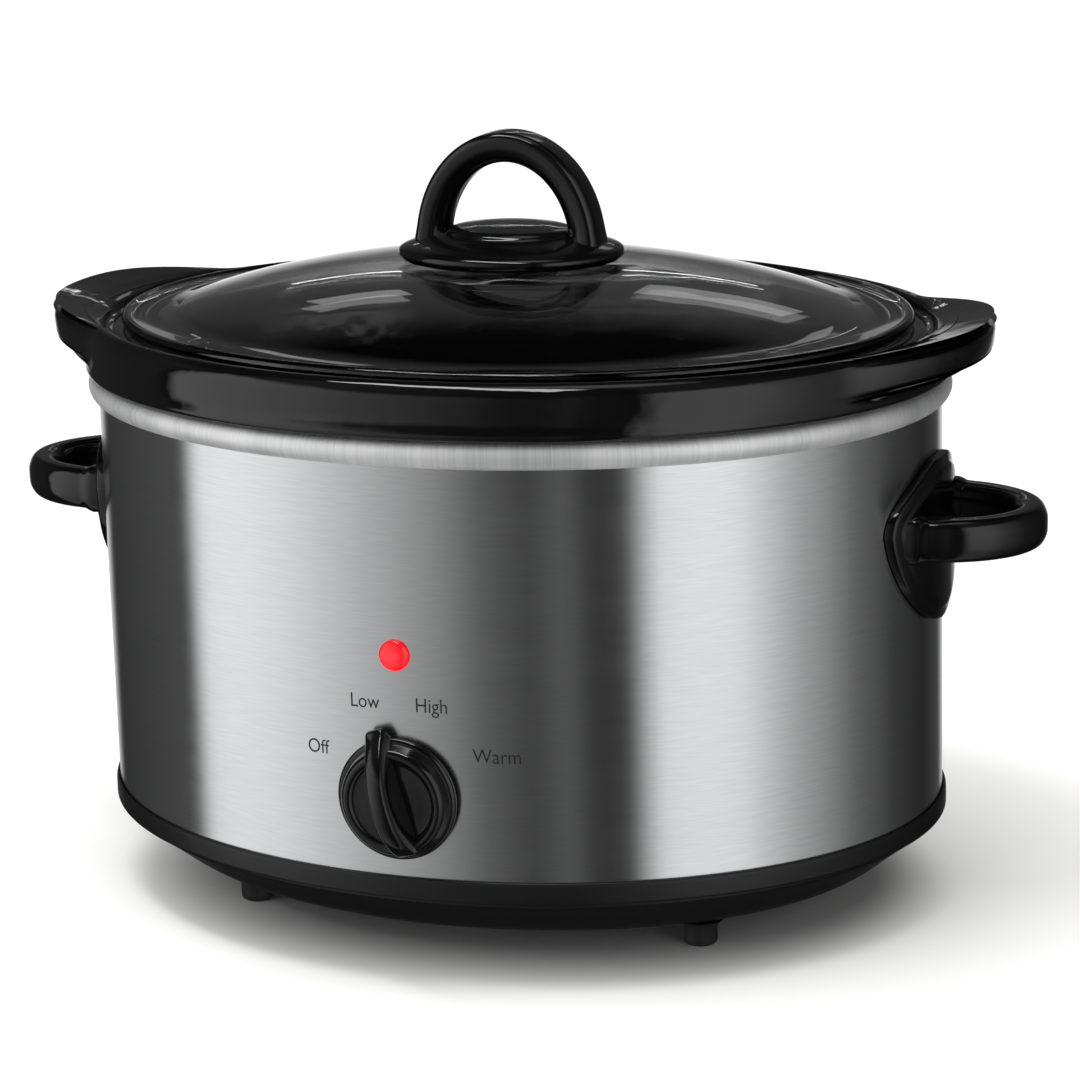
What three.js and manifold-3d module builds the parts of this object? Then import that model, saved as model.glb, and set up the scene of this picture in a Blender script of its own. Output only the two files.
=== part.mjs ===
// Oval slow cooker: a stoneware pot with a glass lid, hung in a heated metal liner.
// Millimetres, +Z up, controls at the front (-Y), long axis along X.
// Every shell is an oval loft: an outline of {length, width, z} points, each one an ellipse.

import * as THREE from 'three';
import { mergeVertices } from 'three/addons/utils/BufferGeometryUtils.js';
import Module from 'manifold-3d';

const wasm = await Module();
wasm.setup();

// ---------------------------------------------------------------- driving dimensions

const gap = 0.3; // between pieces that touch
const ovalSegments = 48; // one count for every nested shell, so their walls stay parallel
const roundSegments = 20;

// outer band: the oval that every other outline is measured from
const bodyLength = 288;
const bodyWidth = 230;
const bandWall = 0.6;
const bandBottom = 33;
const bandTop = 171.9;

// heating liner
const linerWall = 0.8;
const linerFloor = 42; // underside
const linerCorner = 2.5; // chamfer between floor and wall
const linerFootInset = 23.5; // from the band's oval to the liner's wall, at its floor
const linerTopInset = 9.4; // and under the bead
const beadProud = 3.3;
const beadHeight = 9.4;

// stoneware pot
const potWall = 6;
const potFloor = 7;
const potFloorClearance = 2.2;
const potWallClearance = 3.3;
const rimHeight = 17;
const rimProud = 4; // skirt beyond the band
const lugReach = 13.6; // beyond the skirt
const lugHalfWidth = 56;
const lugLift = 3.5; // how far the lugs sweep up
const lugThickness = 9.5;

// lid
const lidEndInset = 8.8; // from the band's oval to the lid's edge, at its ends
const lidSideInset = 9.8; // and along its sides
const glassThickness = 4;
const lidRise = 19; // from the rim's top to the crown
const domeShare = 0.93; // how much of the lid is dome: the rest is a flat flange round it
const domePower = 2.4; // of the dome's profile: 2 is a parabola, and more is steeper at the flange
const lidHole = 4; // radius
const lidDiscLength = 78;
const lidDiscWidth = 62;
const archHeight = 36.6; // above the crown
const archSpan = 54; // between the centres of its two legs
const archDepth = 14;
const archThickness = 10.5;

// base
const baseRingProud = 1.3;
const baseRingHeight = 7.2;
const ringLip = 3.6; // how far the ring's lip covers the band
const panWall = 2.4;
const panFloor = 9; // height of the underside
const footHeight = 8.7;
const footRadius = 5.5;
const panFloorInset = 31; // from the band's oval to the pan's flat floor
const footShareX = 0.699; // where each foot stands, as shares of that floor
const footShareY = 0.631;

// side handles
const handleHeight = 133.3; // centre of the loop
const handleReach = 37; // beyond the band
const handleArm = 26; // from the centre to each arm's middle
const handleThickness = 10.5;
const handleDepth = 14;
const plateThickness = 4;
const plateHalfWidth = 36.5;
const plateRise = 22;
const plateDrop = 33.5;

// controls
const dialHeight = 63;
const dialRadius = 20;
const dialDepth = 16.5;
const dialStandoff = 1;
const dialRest = 16; // pointer, degrees to the left of straight up
const bladeWidth = 7.4; // the knob's grip
const spindleRadius = 3;
const bushRadius = 4.6;
const switchSize = 26;
const switchDepth = 12;
const lampHeight = 109.6;
const lensRadius = 5;
const lensProud = 2.4;
const lampHousingDepth = 7.6;

// heater
const elementBottom = 80;
const elementTop = 128;
const elementThickness = 1.6;
const insulationThickness = 2;
const strapThickness = 0.6;
const strapHeight = 14;

// fasteners and wiring
const screwRadius = 1.75;
const leadRadius = 1.1;
const bracketWidth = 20;
const bracketSteel = 1.2;
const bracketSpan = 100;
const bracketFoot = 13;
const terminalInset = 52; // from the band's back to the terminal block's middle
const glandHeight = 48;
const glandBore = 3.5;
const glandShank = 6;
const glandFlange = 8.5;

// ---------------------------------------------------------------- derived places

const halfLength = bodyLength / 2;
const halfWidth = bodyWidth / 2;
const beadBottom = bandTop + gap - 2.6;
const beadTop = beadBottom + beadHeight;
const rimBottom = beadTop + gap;
const rimTop = rimBottom + rimHeight;
const ledgeHeight = rimTop - 2.9;
const lidRimRadius = 2.2;
const lidRimHeight = ledgeHeight + gap + lidRimRadius;
const glassCrown = lidRimHeight + lidRise;
const archBase = glassCrown + 4.2;
const linerTop = beadBottom + 1;
const dialFace = halfWidth + dialStandoff;
const cookerFront = dialFace + dialDepth;
const cookerBack = Math.max(halfWidth + rimProud, halfWidth + gap + 2.6);

// ---------------------------------------------------------------- geometry helpers

/** Turns a closed geometry into a solid that can be cut and joined. */
function solid(geometry) {
  const bare = geometry.clone();
  for (const name of ['normal', 'uv']) bare.deleteAttribute(name);
  const merged = mergeVertices(bare, 1e-4);
  return new wasm.Manifold(new wasm.Mesh({
    numProp: 3,
    vertProperties: new Float32Array(merged.attributes.position.array),
    triVerts: new Uint32Array(merged.index.array),
  }));
}

/** Turns a solid back into a geometry. */
function surface(body) {
  const mesh = body.getMesh();
  const geometry = new THREE.BufferGeometry();
  geometry.setAttribute('position', new THREE.BufferAttribute(new Float32Array(mesh.vertProperties), 3));
  geometry.setIndex(new THREE.BufferAttribute(new Uint32Array(mesh.triVerts), 1));
  return geometry;
}

/** Volume with its sign: negative when the faces point in. */
function signedVolume(points, faces) {
  let sum = 0;
  for (const [a, b, c] of faces) {
    sum += points[a].dot(points[b].clone().cross(points[c]));
  }
  return sum / 6;
}

/** Skins a row of equal rings. A looped row closes on itself, any other gets flat ends. */
function skin(rings, looped) {
  const count = rings[0].length;
  const points = rings.flat();
  const faces = [];
  const last = looped ? rings.length : rings.length - 1;
  for (let row = 0; row < last; row += 1) {
    const here = row * count;
    const next = ((row + 1) % rings.length) * count;
    for (let i = 0; i < count; i += 1) {
      const j = (i + 1) % count;
      faces.push([here + i, here + j, next + j], [here + i, next + j, next + i]);
    }
  }
  if (!looped) {
    for (const [row, turn] of [[0, false], [rings.length - 1, true]]) {
      const middle = points.length;
      const centre = new THREE.Vector3();
      for (const point of rings[row]) centre.addScaledVector(point, 1 / count);
      points.push(centre);
      for (let i = 0; i < count; i += 1) {
        const a = row * count + i;
        const b = row * count + ((i + 1) % count);
        faces.push(turn ? [middle, a, b] : [middle, b, a]);
      }
    }
  }
  if (signedVolume(points, faces) < 0) {
    for (const face of faces) face.reverse();
  }
  const geometry = new THREE.BufferGeometry();
  geometry.setAttribute('position', new THREE.Float32BufferAttribute(points.flatMap((p) => p.toArray()), 3));
  geometry.setIndex(faces.flat());
  return geometry;
}

/** One ellipse of an outline. `lug` (0 to 1) pulls its two ends out into the pot's lugs. */
function ovalRing({ length, width, z, lug = 0 }, segments = ovalSegments) {
  const ring = [];
  for (let i = 0; i < segments; i += 1) {
    const angle = (i / segments) * Math.PI * 2;
    const y = width * Math.sin(angle);
    const across = Math.min(1, Math.abs(y) / lugHalfWidth);
    const bulge = lug * (1 - across ** 4) ** 1.5;
    const x = length * Math.cos(angle) + Math.sign(Math.cos(angle)) * bulge * lugReach;
    ring.push(new THREE.Vector3(Math.abs(x) < 1e-9 ? 0 : x, y, z + bulge * lugLift));
  }
  return ring;
}

/** A closed oval shell whose outline returns to its start. */
const ovalTube = (outline) => skin(outline.map((point) => ovalRing(point)), true);

/** An oval solid whose outline starts and ends at a flat floor. */
const ovalVessel = (outline) => skin(outline.map((point) => ovalRing(point)), false);

/** A point of an outline, `outset` beyond the band's own oval. */
const beyond = (outset, z) => ({ length: halfLength + outset, width: halfWidth + outset, z });

/** A block with the band's oval, grown by `outset`, for trimming what sits against the band. */
const ovalBlock = (outset, bottom, top) => ovalVessel([beyond(outset, bottom), beyond(outset, top)]);

/** Sweeps a section along points in one plane. `side` is that plane's normal. */
function sweep(path, section, side) {
  const rings = path.map((point, i) => {
    const before = path[Math.max(0, i - 1)];
    const after = path[Math.min(path.length - 1, i + 1)];
    const forward = after.clone().sub(before).normalize();
    const outward = forward.clone().cross(side);
    return section.map(([out, across]) => point.clone().addScaledVector(outward, out).addScaledVector(side, across));
  });
  return skin(rings, false);
}

/** A rounded section, `thick` by `deep`. `taper` narrows its inner side. */
function roundedSection(thick, deep, taper = 0, corners = 10) {
  const section = [];
  for (let i = 0; i < corners; i += 1) {
    const angle = (i / corners) * Math.PI * 2;
    const out = Math.sign(Math.cos(angle)) * Math.abs(Math.cos(angle)) ** 0.8;
    const across = Math.sign(Math.sin(angle)) * Math.abs(Math.sin(angle)) ** 0.8;
    section.push([out * thick / 2, across * deep / 2 * (1 - taper * (1 - out) / 2)]);
  }
  return section;
}

/** A lathe about Z, from [radius, height] points that start and end on the axis or close up. */
function turned(outline, segments = roundSegments) {
  return new THREE.LatheGeometry(outline.map(([r, h]) => new THREE.Vector2(r, h)), segments)
    .rotateX(Math.PI / 2);
}

/** A plain rod about Z. */
const rod = (radius, bottom, top, segments = roundSegments) => new THREE
  .CylinderGeometry(radius, radius, top - bottom, segments)
  .rotateX(Math.PI / 2)
  .translate(0, 0, (bottom + top) / 2);

/** A box from its two corners. */
function block(low, high) {
  const size = high.map((value, i) => value - low[i]);
  return new THREE.BoxGeometry(...size)
    .translate(...low.map((value, i) => value + size[i] / 2));
}

/** Lays a geometry built about +Z along -Y, so that it points out of the front. */
const facingFront = (geometry) => geometry.rotateX(Math.PI / 2);

const finish = (color, roughness, metalness = 0, extra = {}) => new THREE
  .MeshStandardMaterial({ color, roughness, metalness, flatShading: true, ...extra });

const stainless = finish('#b9bbbd', 0.3, 1);
const beadMetal = finish('#c9cacb', 0.45, 1);
const zincSteel = finish('#a9adb0', 0.4, 1);
const stoneware = finish('#0b0b0c', 0.08);
const phenolic = finish('#09090a', 0.15);
const satinPlastic = finish('#161617', 0.5);
const rubber = finish('#0d0d0d', 0.85);
const silicone = finish('#121212', 0.7);
const glass = finish('#dfe6e6', 0.03, 0, { transparent: true, opacity: 0.3 });
const redLens = finish('#e01018', 0.2, 0, { emissive: '#ff2020' });
const mica = finish('#a98f62', 0.7);
const glassFibre = finish('#d8d3c4', 0.9);
const nylon = finish('#e4e0d4', 0.5);
const copperLead = finish('#8c1c16', 0.5);

const cooker = new THREE.Group();

/** Adds a named piece to the cooker. */
function add(name, geometry, material, place = [0, 0, 0], parent = cooker) {
  const mesh = new THREE.Mesh(geometry, material.clone());
  mesh.name = name;
  mesh.position.set(...place);
  parent.add(mesh);
  return mesh;
}

// ---------------------------------------------------------------- outer band

/** The places of the four handle screws: which end, and which side of it. */
const handleScrews = [
  { name: 'handle_screw_right_front', end: 1, side: -1 },
  { name: 'handle_screw_right_rear', end: 1, side: 1 },
  { name: 'handle_screw_left_front', end: -1, side: -1 },
  { name: 'handle_screw_left_rear', end: -1, side: 1 },
];

/** A rod along X through the band where a handle screw passes. */
const handleHole = (radius, end, side, inner, outer) => rod(radius, inner, outer, 16)
  .rotateY(end * Math.PI / 2)
  .translate(0, side * handleArm, handleHeight);

function outerBand() {
  const wall = ovalTube([
    beyond(0, bandBottom),
    beyond(0, bandTop),
    beyond(-bandWall, bandTop),
    beyond(-bandWall, bandBottom),
  ]);
  const through = [halfWidth - 12, halfWidth + 12];
  const front = (radius, z) => solid(facingFront(rod(radius, ...through)).translate(0, 0, z));
  let band = solid(wall)
    .subtract(front(bushRadius + gap, dialHeight))
    .subtract(front(lensRadius - 1 + gap, lampHeight))
    .subtract(solid(rod(glandShank + gap, ...through).rotateX(-Math.PI / 2).translate(0, 0, glandHeight)));
  for (const { end, side } of handleScrews) {
    band = band.subtract(solid(handleHole(screwRadius + gap, end, side, halfLength - 24, halfLength + 10)));
  }
  return surface(band);
}
add('outer_band', outerBand(), stainless);

// ---------------------------------------------------------------- heating liner

/** How far the liner's outer wall stands inside the band's oval, at a height. */
function linerInset(z) {
  const share = (z - linerFloor - linerCorner) / (linerTop - linerFloor - linerCorner);
  return THREE.MathUtils.lerp(linerFootInset, linerTopInset, share);
}

function heatingLiner() {
  const outsideWall = [
    beyond(-linerFootInset - linerCorner, linerFloor),
    beyond(-linerFootInset, linerFloor + linerCorner),
    beyond(-linerTopInset, linerTop),
  ];
  const underBead = [
    beyond(-linerTopInset + 3, bandTop + gap),
    beyond(gap, bandTop + gap),
    beyond(gap, beadBottom),
  ];
  const middle = beadProud - beadHeight / 2;
  const bead = [-50, 0, 45, 90, 135].map((degrees) => {
    const angle = THREE.MathUtils.degToRad(degrees);
    return beyond(
      middle + (beadHeight / 2) * Math.cos(angle),
      beadBottom + (beadHeight / 2) * (1 + Math.sin(angle)),
    );
  });
  const insideWall = [
    beyond(-linerTopInset - linerWall, linerTop + 1),
    beyond(-linerFootInset - linerWall, linerFloor + linerCorner + 0.4 * linerWall),
    beyond(-linerFootInset - linerCorner - 0.4 * linerWall, linerFloor + linerWall),
  ];
  return ovalVessel([...outsideWall, ...underBead, ...bead, ...insideWall]);
}
add('heating_liner', heatingLiner(), beadMetal);

// ---------------------------------------------------------------- heater round the liner

/** A ring that follows the liner's tapered wall, `from` to `to` away from it. */
function linerSleeve(bottom, top, from, to) {
  return ovalTube([
    beyond(to - linerInset(bottom), bottom),
    beyond(to - linerInset(top), top),
    beyond(from - linerInset(top), top),
    beyond(from - linerInset(bottom), bottom),
  ]);
}

const elementOuter = gap + elementThickness;
const insulationOuter = elementOuter + gap + insulationThickness;
const strapOuter = insulationOuter + gap + strapThickness;
const elementMiddle = (elementBottom + elementTop) / 2;
add('heating_element', linerSleeve(elementBottom, elementTop, gap, elementOuter), mica);
add(
  'element_insulation',
  linerSleeve(elementBottom, elementTop, elementOuter + gap, insulationOuter),
  glassFibre,
);
add(
  'element_strap',
  linerSleeve(
    elementMiddle - strapHeight / 2,
    elementMiddle + strapHeight / 2,
    insulationOuter + gap,
    strapOuter,
  ),
  zincSteel,
);

// ---------------------------------------------------------------- stoneware pot

function stonewarePot() {
  const bottom = linerFloor + linerWall + potFloorClearance;
  const footInset = linerFootInset + potWallClearance;
  const neckInset = linerTopInset + potWallClearance;
  const rim = (length, width, z, lug = 0) => ({
    length: halfLength + length, width: halfWidth + width, z, lug,
  });
  const outside = [
    beyond(-footInset - 6, bottom),
    beyond(-footInset - 1.6, bottom + 2),
    beyond(-footInset, bottom + 7),
    beyond(-neckInset, rimBottom - 4),
    beyond(-linerTopInset, rimBottom),
  ];
  const lugTop = rimTop - 1.2;
  const skirt = [
    beyond(rimProud - 0.8, rimBottom),
    beyond(rimProud, rimBottom + 1.2),
    rim(rimProud - 0.2, rimProud - 0.5, rimBottom + 2.6),
    rim(rimProud, rimProud - 2.4, lugTop - lugThickness, 1),
    rim(rimProud + 0.5, rimProud - 5, lugTop - 2.4, 1),
    rim(rimProud - 0.4, rimProud - 6.4, lugTop, 0.92),
  ];
  const recess = [
    rim(rimProud - 3, rimProud - 9.4, rimTop, 0.3),
    rim(-1.2, -7.4, rimTop - 0.5),
    rim(-2.4, -8.6, rimTop - 4.6),
    rim(-6.2, -9.4, ledgeHeight),
    rim(-13, -13.5, ledgeHeight),
  ];
  const inside = [
    beyond(-neckInset - potWall, rimTop - 10),
    beyond(-footInset - potWall, bottom + potFloor + 9),
    beyond(-footInset - potWall - 2.5, bottom + potFloor + 2.5),
    beyond(-footInset - potWall - 9, bottom + potFloor),
  ];
  return ovalVessel([...outside, ...skirt, ...recess, ...inside]);
}
add('stoneware_pot', stonewarePot(), stoneware);

// ---------------------------------------------------------------- lid

const lidHalfLength = halfLength - lidEndInset;
const lidHalfWidth = halfWidth - lidSideInset;

/** A point of the lid's dome: `share` is 0 at the crown and 1 at the flange. */
function domePoint(share, drop) {
  const span = lidHole + (lidHalfLength * domeShare - lidHole) * share;
  const spread = lidHole + (lidHalfWidth * domeShare - lidHole) * share;
  const z = lidRimHeight + lidRise * (1 - share ** domePower) - drop;
  return { length: span, width: spread, z };
}

function lidGlass() {
  const top = [0, 0.3, 0.6, 0.85, 1].map((share) => domePoint(share, 0));
  const under = [0.95, 0.7, 0.35, 0].map((share) => domePoint(share, glassThickness));
  const rim = [130, 50, 0, -90].map((degrees) => {
    const angle = THREE.MathUtils.degToRad(degrees);
    const inward = lidRimRadius * (1 - Math.cos(angle));
    return {
      length: lidHalfLength - inward,
      width: lidHalfWidth - inward,
      z: lidRimHeight + lidRimRadius * Math.sin(angle),
    };
  });
  const heel = [{
    length: lidHalfLength - 5, width: lidHalfWidth - 5, z: lidRimHeight - lidRimRadius,
  }];
  return ovalTube([...top, ...rim, ...heel, ...under]);
}
add('lid_glass', lidGlass(), glass);

const gasketThickness = 1.3;
const gasketRadius = 15;
const knobSeat = glassCrown + gap + gasketThickness + gap;
const knobDome = glassCrown + 11.6;
const lidBolt = 2; // shank radius

function lidKnob() {
  const disc = (share, z) => ({ length: lidDiscLength / 2 * share, width: lidDiscWidth / 2 * share, z });
  const outline = [
    disc(0.7, knobSeat),
    disc(0.82, knobSeat - 2),
    disc(0.93, knobSeat - 2.3),
    disc(1, knobSeat - 0.3),
    disc(0.98, knobSeat + 1.7),
    disc(0.76, knobSeat + 4),
    disc(0.57, knobSeat + 5.8),
    disc(0.52, knobSeat + 7.9),
    disc(0.3, knobDome - 0.5),
    disc(0.08, knobDome),
  ];
  const body = solid(skin(outline.map((point) => ovalRing(point, 28)), false));
  const rise = glassCrown + archHeight + 5.4 - archThickness / 2 - archBase;
  const path = [];
  for (let step = 0; step <= 10; step += 1) {
    const angle = Math.PI * (step / 10);
    path.push(new THREE.Vector3(-archSpan / 2 * Math.cos(angle), 0, archBase + rise * Math.sin(angle)));
  }
  const arch = solid(sweep(path, roundedSection(archThickness, archDepth, 0.35), new THREE.Vector3(0, 1, 0)));
  const bore = solid(rod(lidBolt + gap, knobSeat - 3, knobDome - 3, 16));
  return surface(body.add(arch).subtract(bore));
}
add('lid_knob', lidKnob(), phenolic);

const ringPiece = (inner, outer, bottom, top) => turned([
  [inner, bottom], [outer, bottom], [outer, top], [inner, top], [inner, bottom],
]);
add('lid_gasket', ringPiece(lidBolt + gap, gasketRadius, glassCrown + gap, glassCrown + gap + gasketThickness), silicone);
const glassUnder = glassCrown - glassThickness;
const washerThickness = 1.2;
const washerRadius = 9;
add('lid_washer', ringPiece(lidBolt + gap, washerRadius, glassUnder - gap - washerThickness, glassUnder - gap), zincSteel);

/** A screw about +Z: a domed head whose seat is at 0, with its shank going up. */
const screw = (shank, shankLength, head, headHeight) => turned([
  [0, -headHeight], [head * 0.7, -headHeight], [head, -headHeight * 0.4], [head, 0],
  [shank, 0], [shank, shankLength - shank * 0.6], [shank * 0.4, shankLength], [0, shankLength],
], 10);
const lidScrewSeat = glassUnder - gap - washerThickness - gap;
add('lid_screw', screw(lidBolt, knobDome - 4 - lidScrewSeat, 4.4, 2.6), zincSteel, [0, 0, lidScrewSeat]);

// ---------------------------------------------------------------- base

const ringShelf = bandBottom - gap;
const ringBottom = bandBottom + ringLip - baseRingHeight;
add('base_ring', ovalTube([
  beyond(-5, ringBottom),
  beyond(baseRingProud, ringBottom),
  beyond(baseRingProud, bandBottom + ringLip - 0.7),
  beyond(baseRingProud - 0.6, bandBottom + ringLip),
  beyond(gap, bandBottom + ringLip),
  beyond(gap, ringShelf),
  beyond(-5, ringShelf),
]), satinPlastic);

/** The places of the four feet. */
const footX = (halfLength - panFloorInset) * footShareX;
const footY = (halfWidth - panFloorInset) * footShareY;
const feet = [
  { name: 'foot_front_right', x: footX, y: -footY },
  { name: 'foot_rear_right', x: footX, y: footY },
  { name: 'foot_rear_left', x: -footX, y: footY },
  { name: 'foot_front_left', x: -footX, y: -footY },
];
const footStem = 2.5;
const tieScrewY = bracketSpan / 2 + bracketFoot / 2;

function basePan() {
  const top = ringBottom - gap;
  const outside = [
    beyond(-panFloorInset, panFloor),
    beyond(-19.5, panFloor + 4.6),
    beyond(-9.5, panFloor + 13),
    beyond(-1.6, top),
  ];
  const inside = [
    beyond(-1.6 - panWall, top),
    beyond(-9.5 - panWall, panFloor + 14.6),
    beyond(-20.5 - panWall, panFloor + 6.6),
    beyond(-panFloorInset - panWall, panFloor + panWall),
  ];
  let pan = solid(ovalVessel([...outside, ...inside]));
  const hole = (radius, x, y) => solid(rod(radius, panFloor - 3, panFloor + 8, 16).translate(x, y, 0));
  for (const { x, y } of feet) pan = pan.subtract(hole(footStem + gap, x, y));
  for (const y of [-tieScrewY, tieScrewY]) pan = pan.subtract(hole(screwRadius + gap, 0, y));
  return surface(pan);
}
add('base_pan', basePan(), satinPlastic);

const stemTop = panFloor + panWall + gap;
const footOutline = [
  [0, 0], [footRadius - 0.6, 0], [footRadius, 0.6], [footRadius, 5.2], [footRadius + 2.6, footHeight],
  [footStem, footHeight], [footStem, stemTop], [footStem + 0.9, stemTop], [footStem - 0.8, stemTop + 2.6],
  [0, stemTop + 2.6],
];
for (const { name, x, y } of feet) add(name, turned(footOutline, 12), rubber, [x, y, 0]);

// ---------------------------------------------------------------- side handles

function sideHandle() {
  const outline = new THREE.Shape();
  outline.moveTo(-6, plateRise);
  outline.lineTo(6, plateRise);
  outline.lineTo(plateHalfWidth - 4, plateRise - 10);
  outline.quadraticCurveTo(plateHalfWidth, plateRise - 13, plateHalfWidth, 2);
  outline.quadraticCurveTo(plateHalfWidth - 4, -plateDrop * 0.55, 10, -plateDrop + 3);
  outline.quadraticCurveTo(0, -plateDrop - 1, -10, -plateDrop + 3);
  outline.quadraticCurveTo(-plateHalfWidth + 4, -plateDrop * 0.55, -plateHalfWidth, 2);
  outline.quadraticCurveTo(-plateHalfWidth, plateRise - 13, -plateHalfWidth + 4, plateRise - 10);
  outline.closePath();
  const sideways = new THREE.Matrix4().makeBasis(
    new THREE.Vector3(0, 1, 0),
    new THREE.Vector3(0, 0, 1),
    new THREE.Vector3(1, 0, 0),
  );
  const prism = new THREE.ExtrudeGeometry(outline, { depth: halfLength, bevelEnabled: false, curveSegments: 5 })
    .applyMatrix4(sideways)
    .translate(halfLength / 2, 0, handleHeight);
  const low = handleHeight - plateDrop - 10;
  const high = handleHeight + plateRise + 10;
  const plate = solid(prism).intersect(solid(ovalBlock(gap + plateThickness, low, high)));

  const reach = handleReach - handleThickness / 2;
  const path = [new THREE.Vector3(halfLength - 16, -handleArm, handleHeight)];
  for (let step = 0; step <= 10; step += 1) {
    const angle = Math.PI * (step / 10 - 0.5);
    path.push(new THREE.Vector3(
      halfLength + reach * Math.cos(angle),
      handleArm * Math.sin(angle),
      handleHeight,
    ));
  }
  path.push(new THREE.Vector3(halfLength - 16, handleArm, handleHeight));
  const loop = solid(sweep(path, roundedSection(handleThickness, handleDepth), new THREE.Vector3(0, 0, 1)));

  let handle = plate.add(loop).subtract(solid(ovalBlock(gap, low - 5, high + 5)));
  for (const side of [-1, 1]) {
    handle = handle.subtract(solid(handleHole(screwRadius + gap, 1, side, halfLength - 20, halfLength + 8)));
  }
  return surface(handle);
}
add('side_handle_right', sideHandle(), phenolic);
add('side_handle_left', sideHandle(), phenolic).rotation.z = Math.PI;

/** Where the band's inner face is, along X, at a distance `y` from the middle. */
const bandInside = (y) => (halfLength - bandWall) * Math.sqrt(1 - (y / (halfWidth - bandWall)) ** 2);
const handleScrewHead = 3.4;
const handleScrewSeat = bandInside(handleArm + handleScrewHead) - gap;
for (const { name, end, side } of handleScrews) {
  const mesh = add(name, screw(screwRadius, halfLength + 6 - handleScrewSeat, handleScrewHead, 2), zincSteel);
  mesh.rotation.y = end * Math.PI / 2;
  mesh.position.set(end * handleScrewSeat, side * handleArm, handleHeight);
}

// ---------------------------------------------------------------- rotary switch and knob

// In this group +Z points out of the front, +Y points up, and 0 is the middle of the body.
const dial = new THREE.Group();
dial.rotation.x = Math.PI / 2;
dial.position.z = dialHeight;
cooker.add(dial);

const bandFace = halfWidth;
const switchFront = bandFace - bandWall - 1.6;
const switchBack = switchFront - switchDepth;
const nutThickness = 2.6;
const nutRadius = 8;
const spindleTop = dialFace + 8.5;

function switchBody() {
  const half = switchSize / 2;
  const housing = solid(block([-half, -half, switchBack], [half, half, switchFront]));
  const bush = solid(rod(bushRadius, switchFront - 1, bandFace + gap + nutThickness));
  const bore = solid(rod(spindleRadius + gap, switchBack + 3, bandFace + 10));
  return surface(housing.add(bush).subtract(bore));
}
add('switch_body', switchBody(), nylon, [0, 0, 0], dial);

const nut = solid(rod(nutRadius, bandFace + gap, bandFace + gap + nutThickness, 6))
  .subtract(solid(rod(bushRadius + gap, bandFace - 1, bandFace + 10)));
add('switch_nut', surface(nut), zincSteel, [0, 0, 0], dial);

const pointer = new THREE.Group();
pointer.rotation.z = THREE.MathUtils.degToRad(dialRest);
dial.add(pointer);

const clipThickness = 0.5;
const flatDepth = 1.1; // cut off one side of the spindle
function switchSpindle() {
  const shaft = solid(rod(spindleRadius, switchBack + 3 + gap, spindleTop));
  const flat = solid(block(
    [spindleRadius - flatDepth, -5, dialFace - 1],
    [spindleRadius + 5, 5, spindleTop + 1],
  ));
  return surface(shaft.subtract(flat));
}
add('switch_spindle', switchSpindle(), zincSteel, [0, 0, 0], pointer);

const clipInner = spindleRadius - flatDepth + gap;
const clipOuter = clipInner + clipThickness;
add(
  'knob_clip',
  block([clipInner, -1.8, dialFace + 2], [clipOuter, 1.8, spindleTop - 0.5]),
  zincSteel,
  [0, 0, 0],
  pointer,
);

function controlKnob() {
  const back = dialFace;
  const body = solid(turned([
    [0, back + 5], [10, back + 5], [10, back + 4], [dialRadius - 2.6, back + 1.6], [dialRadius - 2.6, back],
    [dialRadius, back], [dialRadius, back + 1.6], [dialRadius - 1.2, back + 2.4], [dialRadius - 1.9, back + 2.4],
    [dialRadius - 3, back + 5.6], [dialRadius - 4.6, back + 6.6], [dialRadius - 6, back + 6.2],
    [9, back + 6.4], [0, back + 6.6],
  ], 24));
  const blade = new THREE.Shape();
  blade.moveTo(-dialRadius + 1.4, 1.4);
  blade.quadraticCurveTo(-dialRadius + 3, dialDepth - 2, -3, dialDepth - 0.2);
  blade.quadraticCurveTo(dialRadius - 4, dialDepth - 1, dialRadius + 2, 5);
  blade.lineTo(dialRadius + 3.6, 3);
  blade.lineTo(dialRadius + 3.6, 1.4);
  blade.closePath();
  const upright = new THREE.Matrix4().makeBasis(
    new THREE.Vector3(0, 1, 0),
    new THREE.Vector3(0, 0, 1),
    new THREE.Vector3(1, 0, 0),
  );
  const grip = new THREE.ExtrudeGeometry(blade, { depth: bladeWidth, bevelEnabled: false, curveSegments: 8 })
    .applyMatrix4(upright)
    .translate(-bladeWidth / 2, 0, back);
  const recess = solid(turned([
    [0, back - 1], [dialRadius - 2.6, back - 1], [dialRadius - 2.6, back + 1.6], [10, back + 4],
    [10, back + 5], [0, back + 5],
  ], 24));
  const hub = solid(rod(6.4, back + 3.4, back + 6));
  const boreTop = spindleTop + gap;
  const bore = solid(rod(spindleRadius + gap, back - 2, boreTop))
    .subtract(solid(block([clipOuter + gap, -5, back - 3], [spindleRadius + 5, 5, boreTop + 1])));
  const clipSlot = solid(block([1, -1.8 - gap, back - 3], [clipOuter + gap, 1.8 + gap, spindleTop]));
  return surface(body.add(solid(grip)).subtract(recess).add(hub).subtract(bore).subtract(clipSlot));
}
add('control_knob', controlKnob(), phenolic, [0, 0, 0], pointer);

// ---------------------------------------------------------------- indicator lamp

const lamp = new THREE.Group();
lamp.rotation.x = Math.PI / 2;
lamp.position.z = lampHeight;
cooker.add(lamp);

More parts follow.
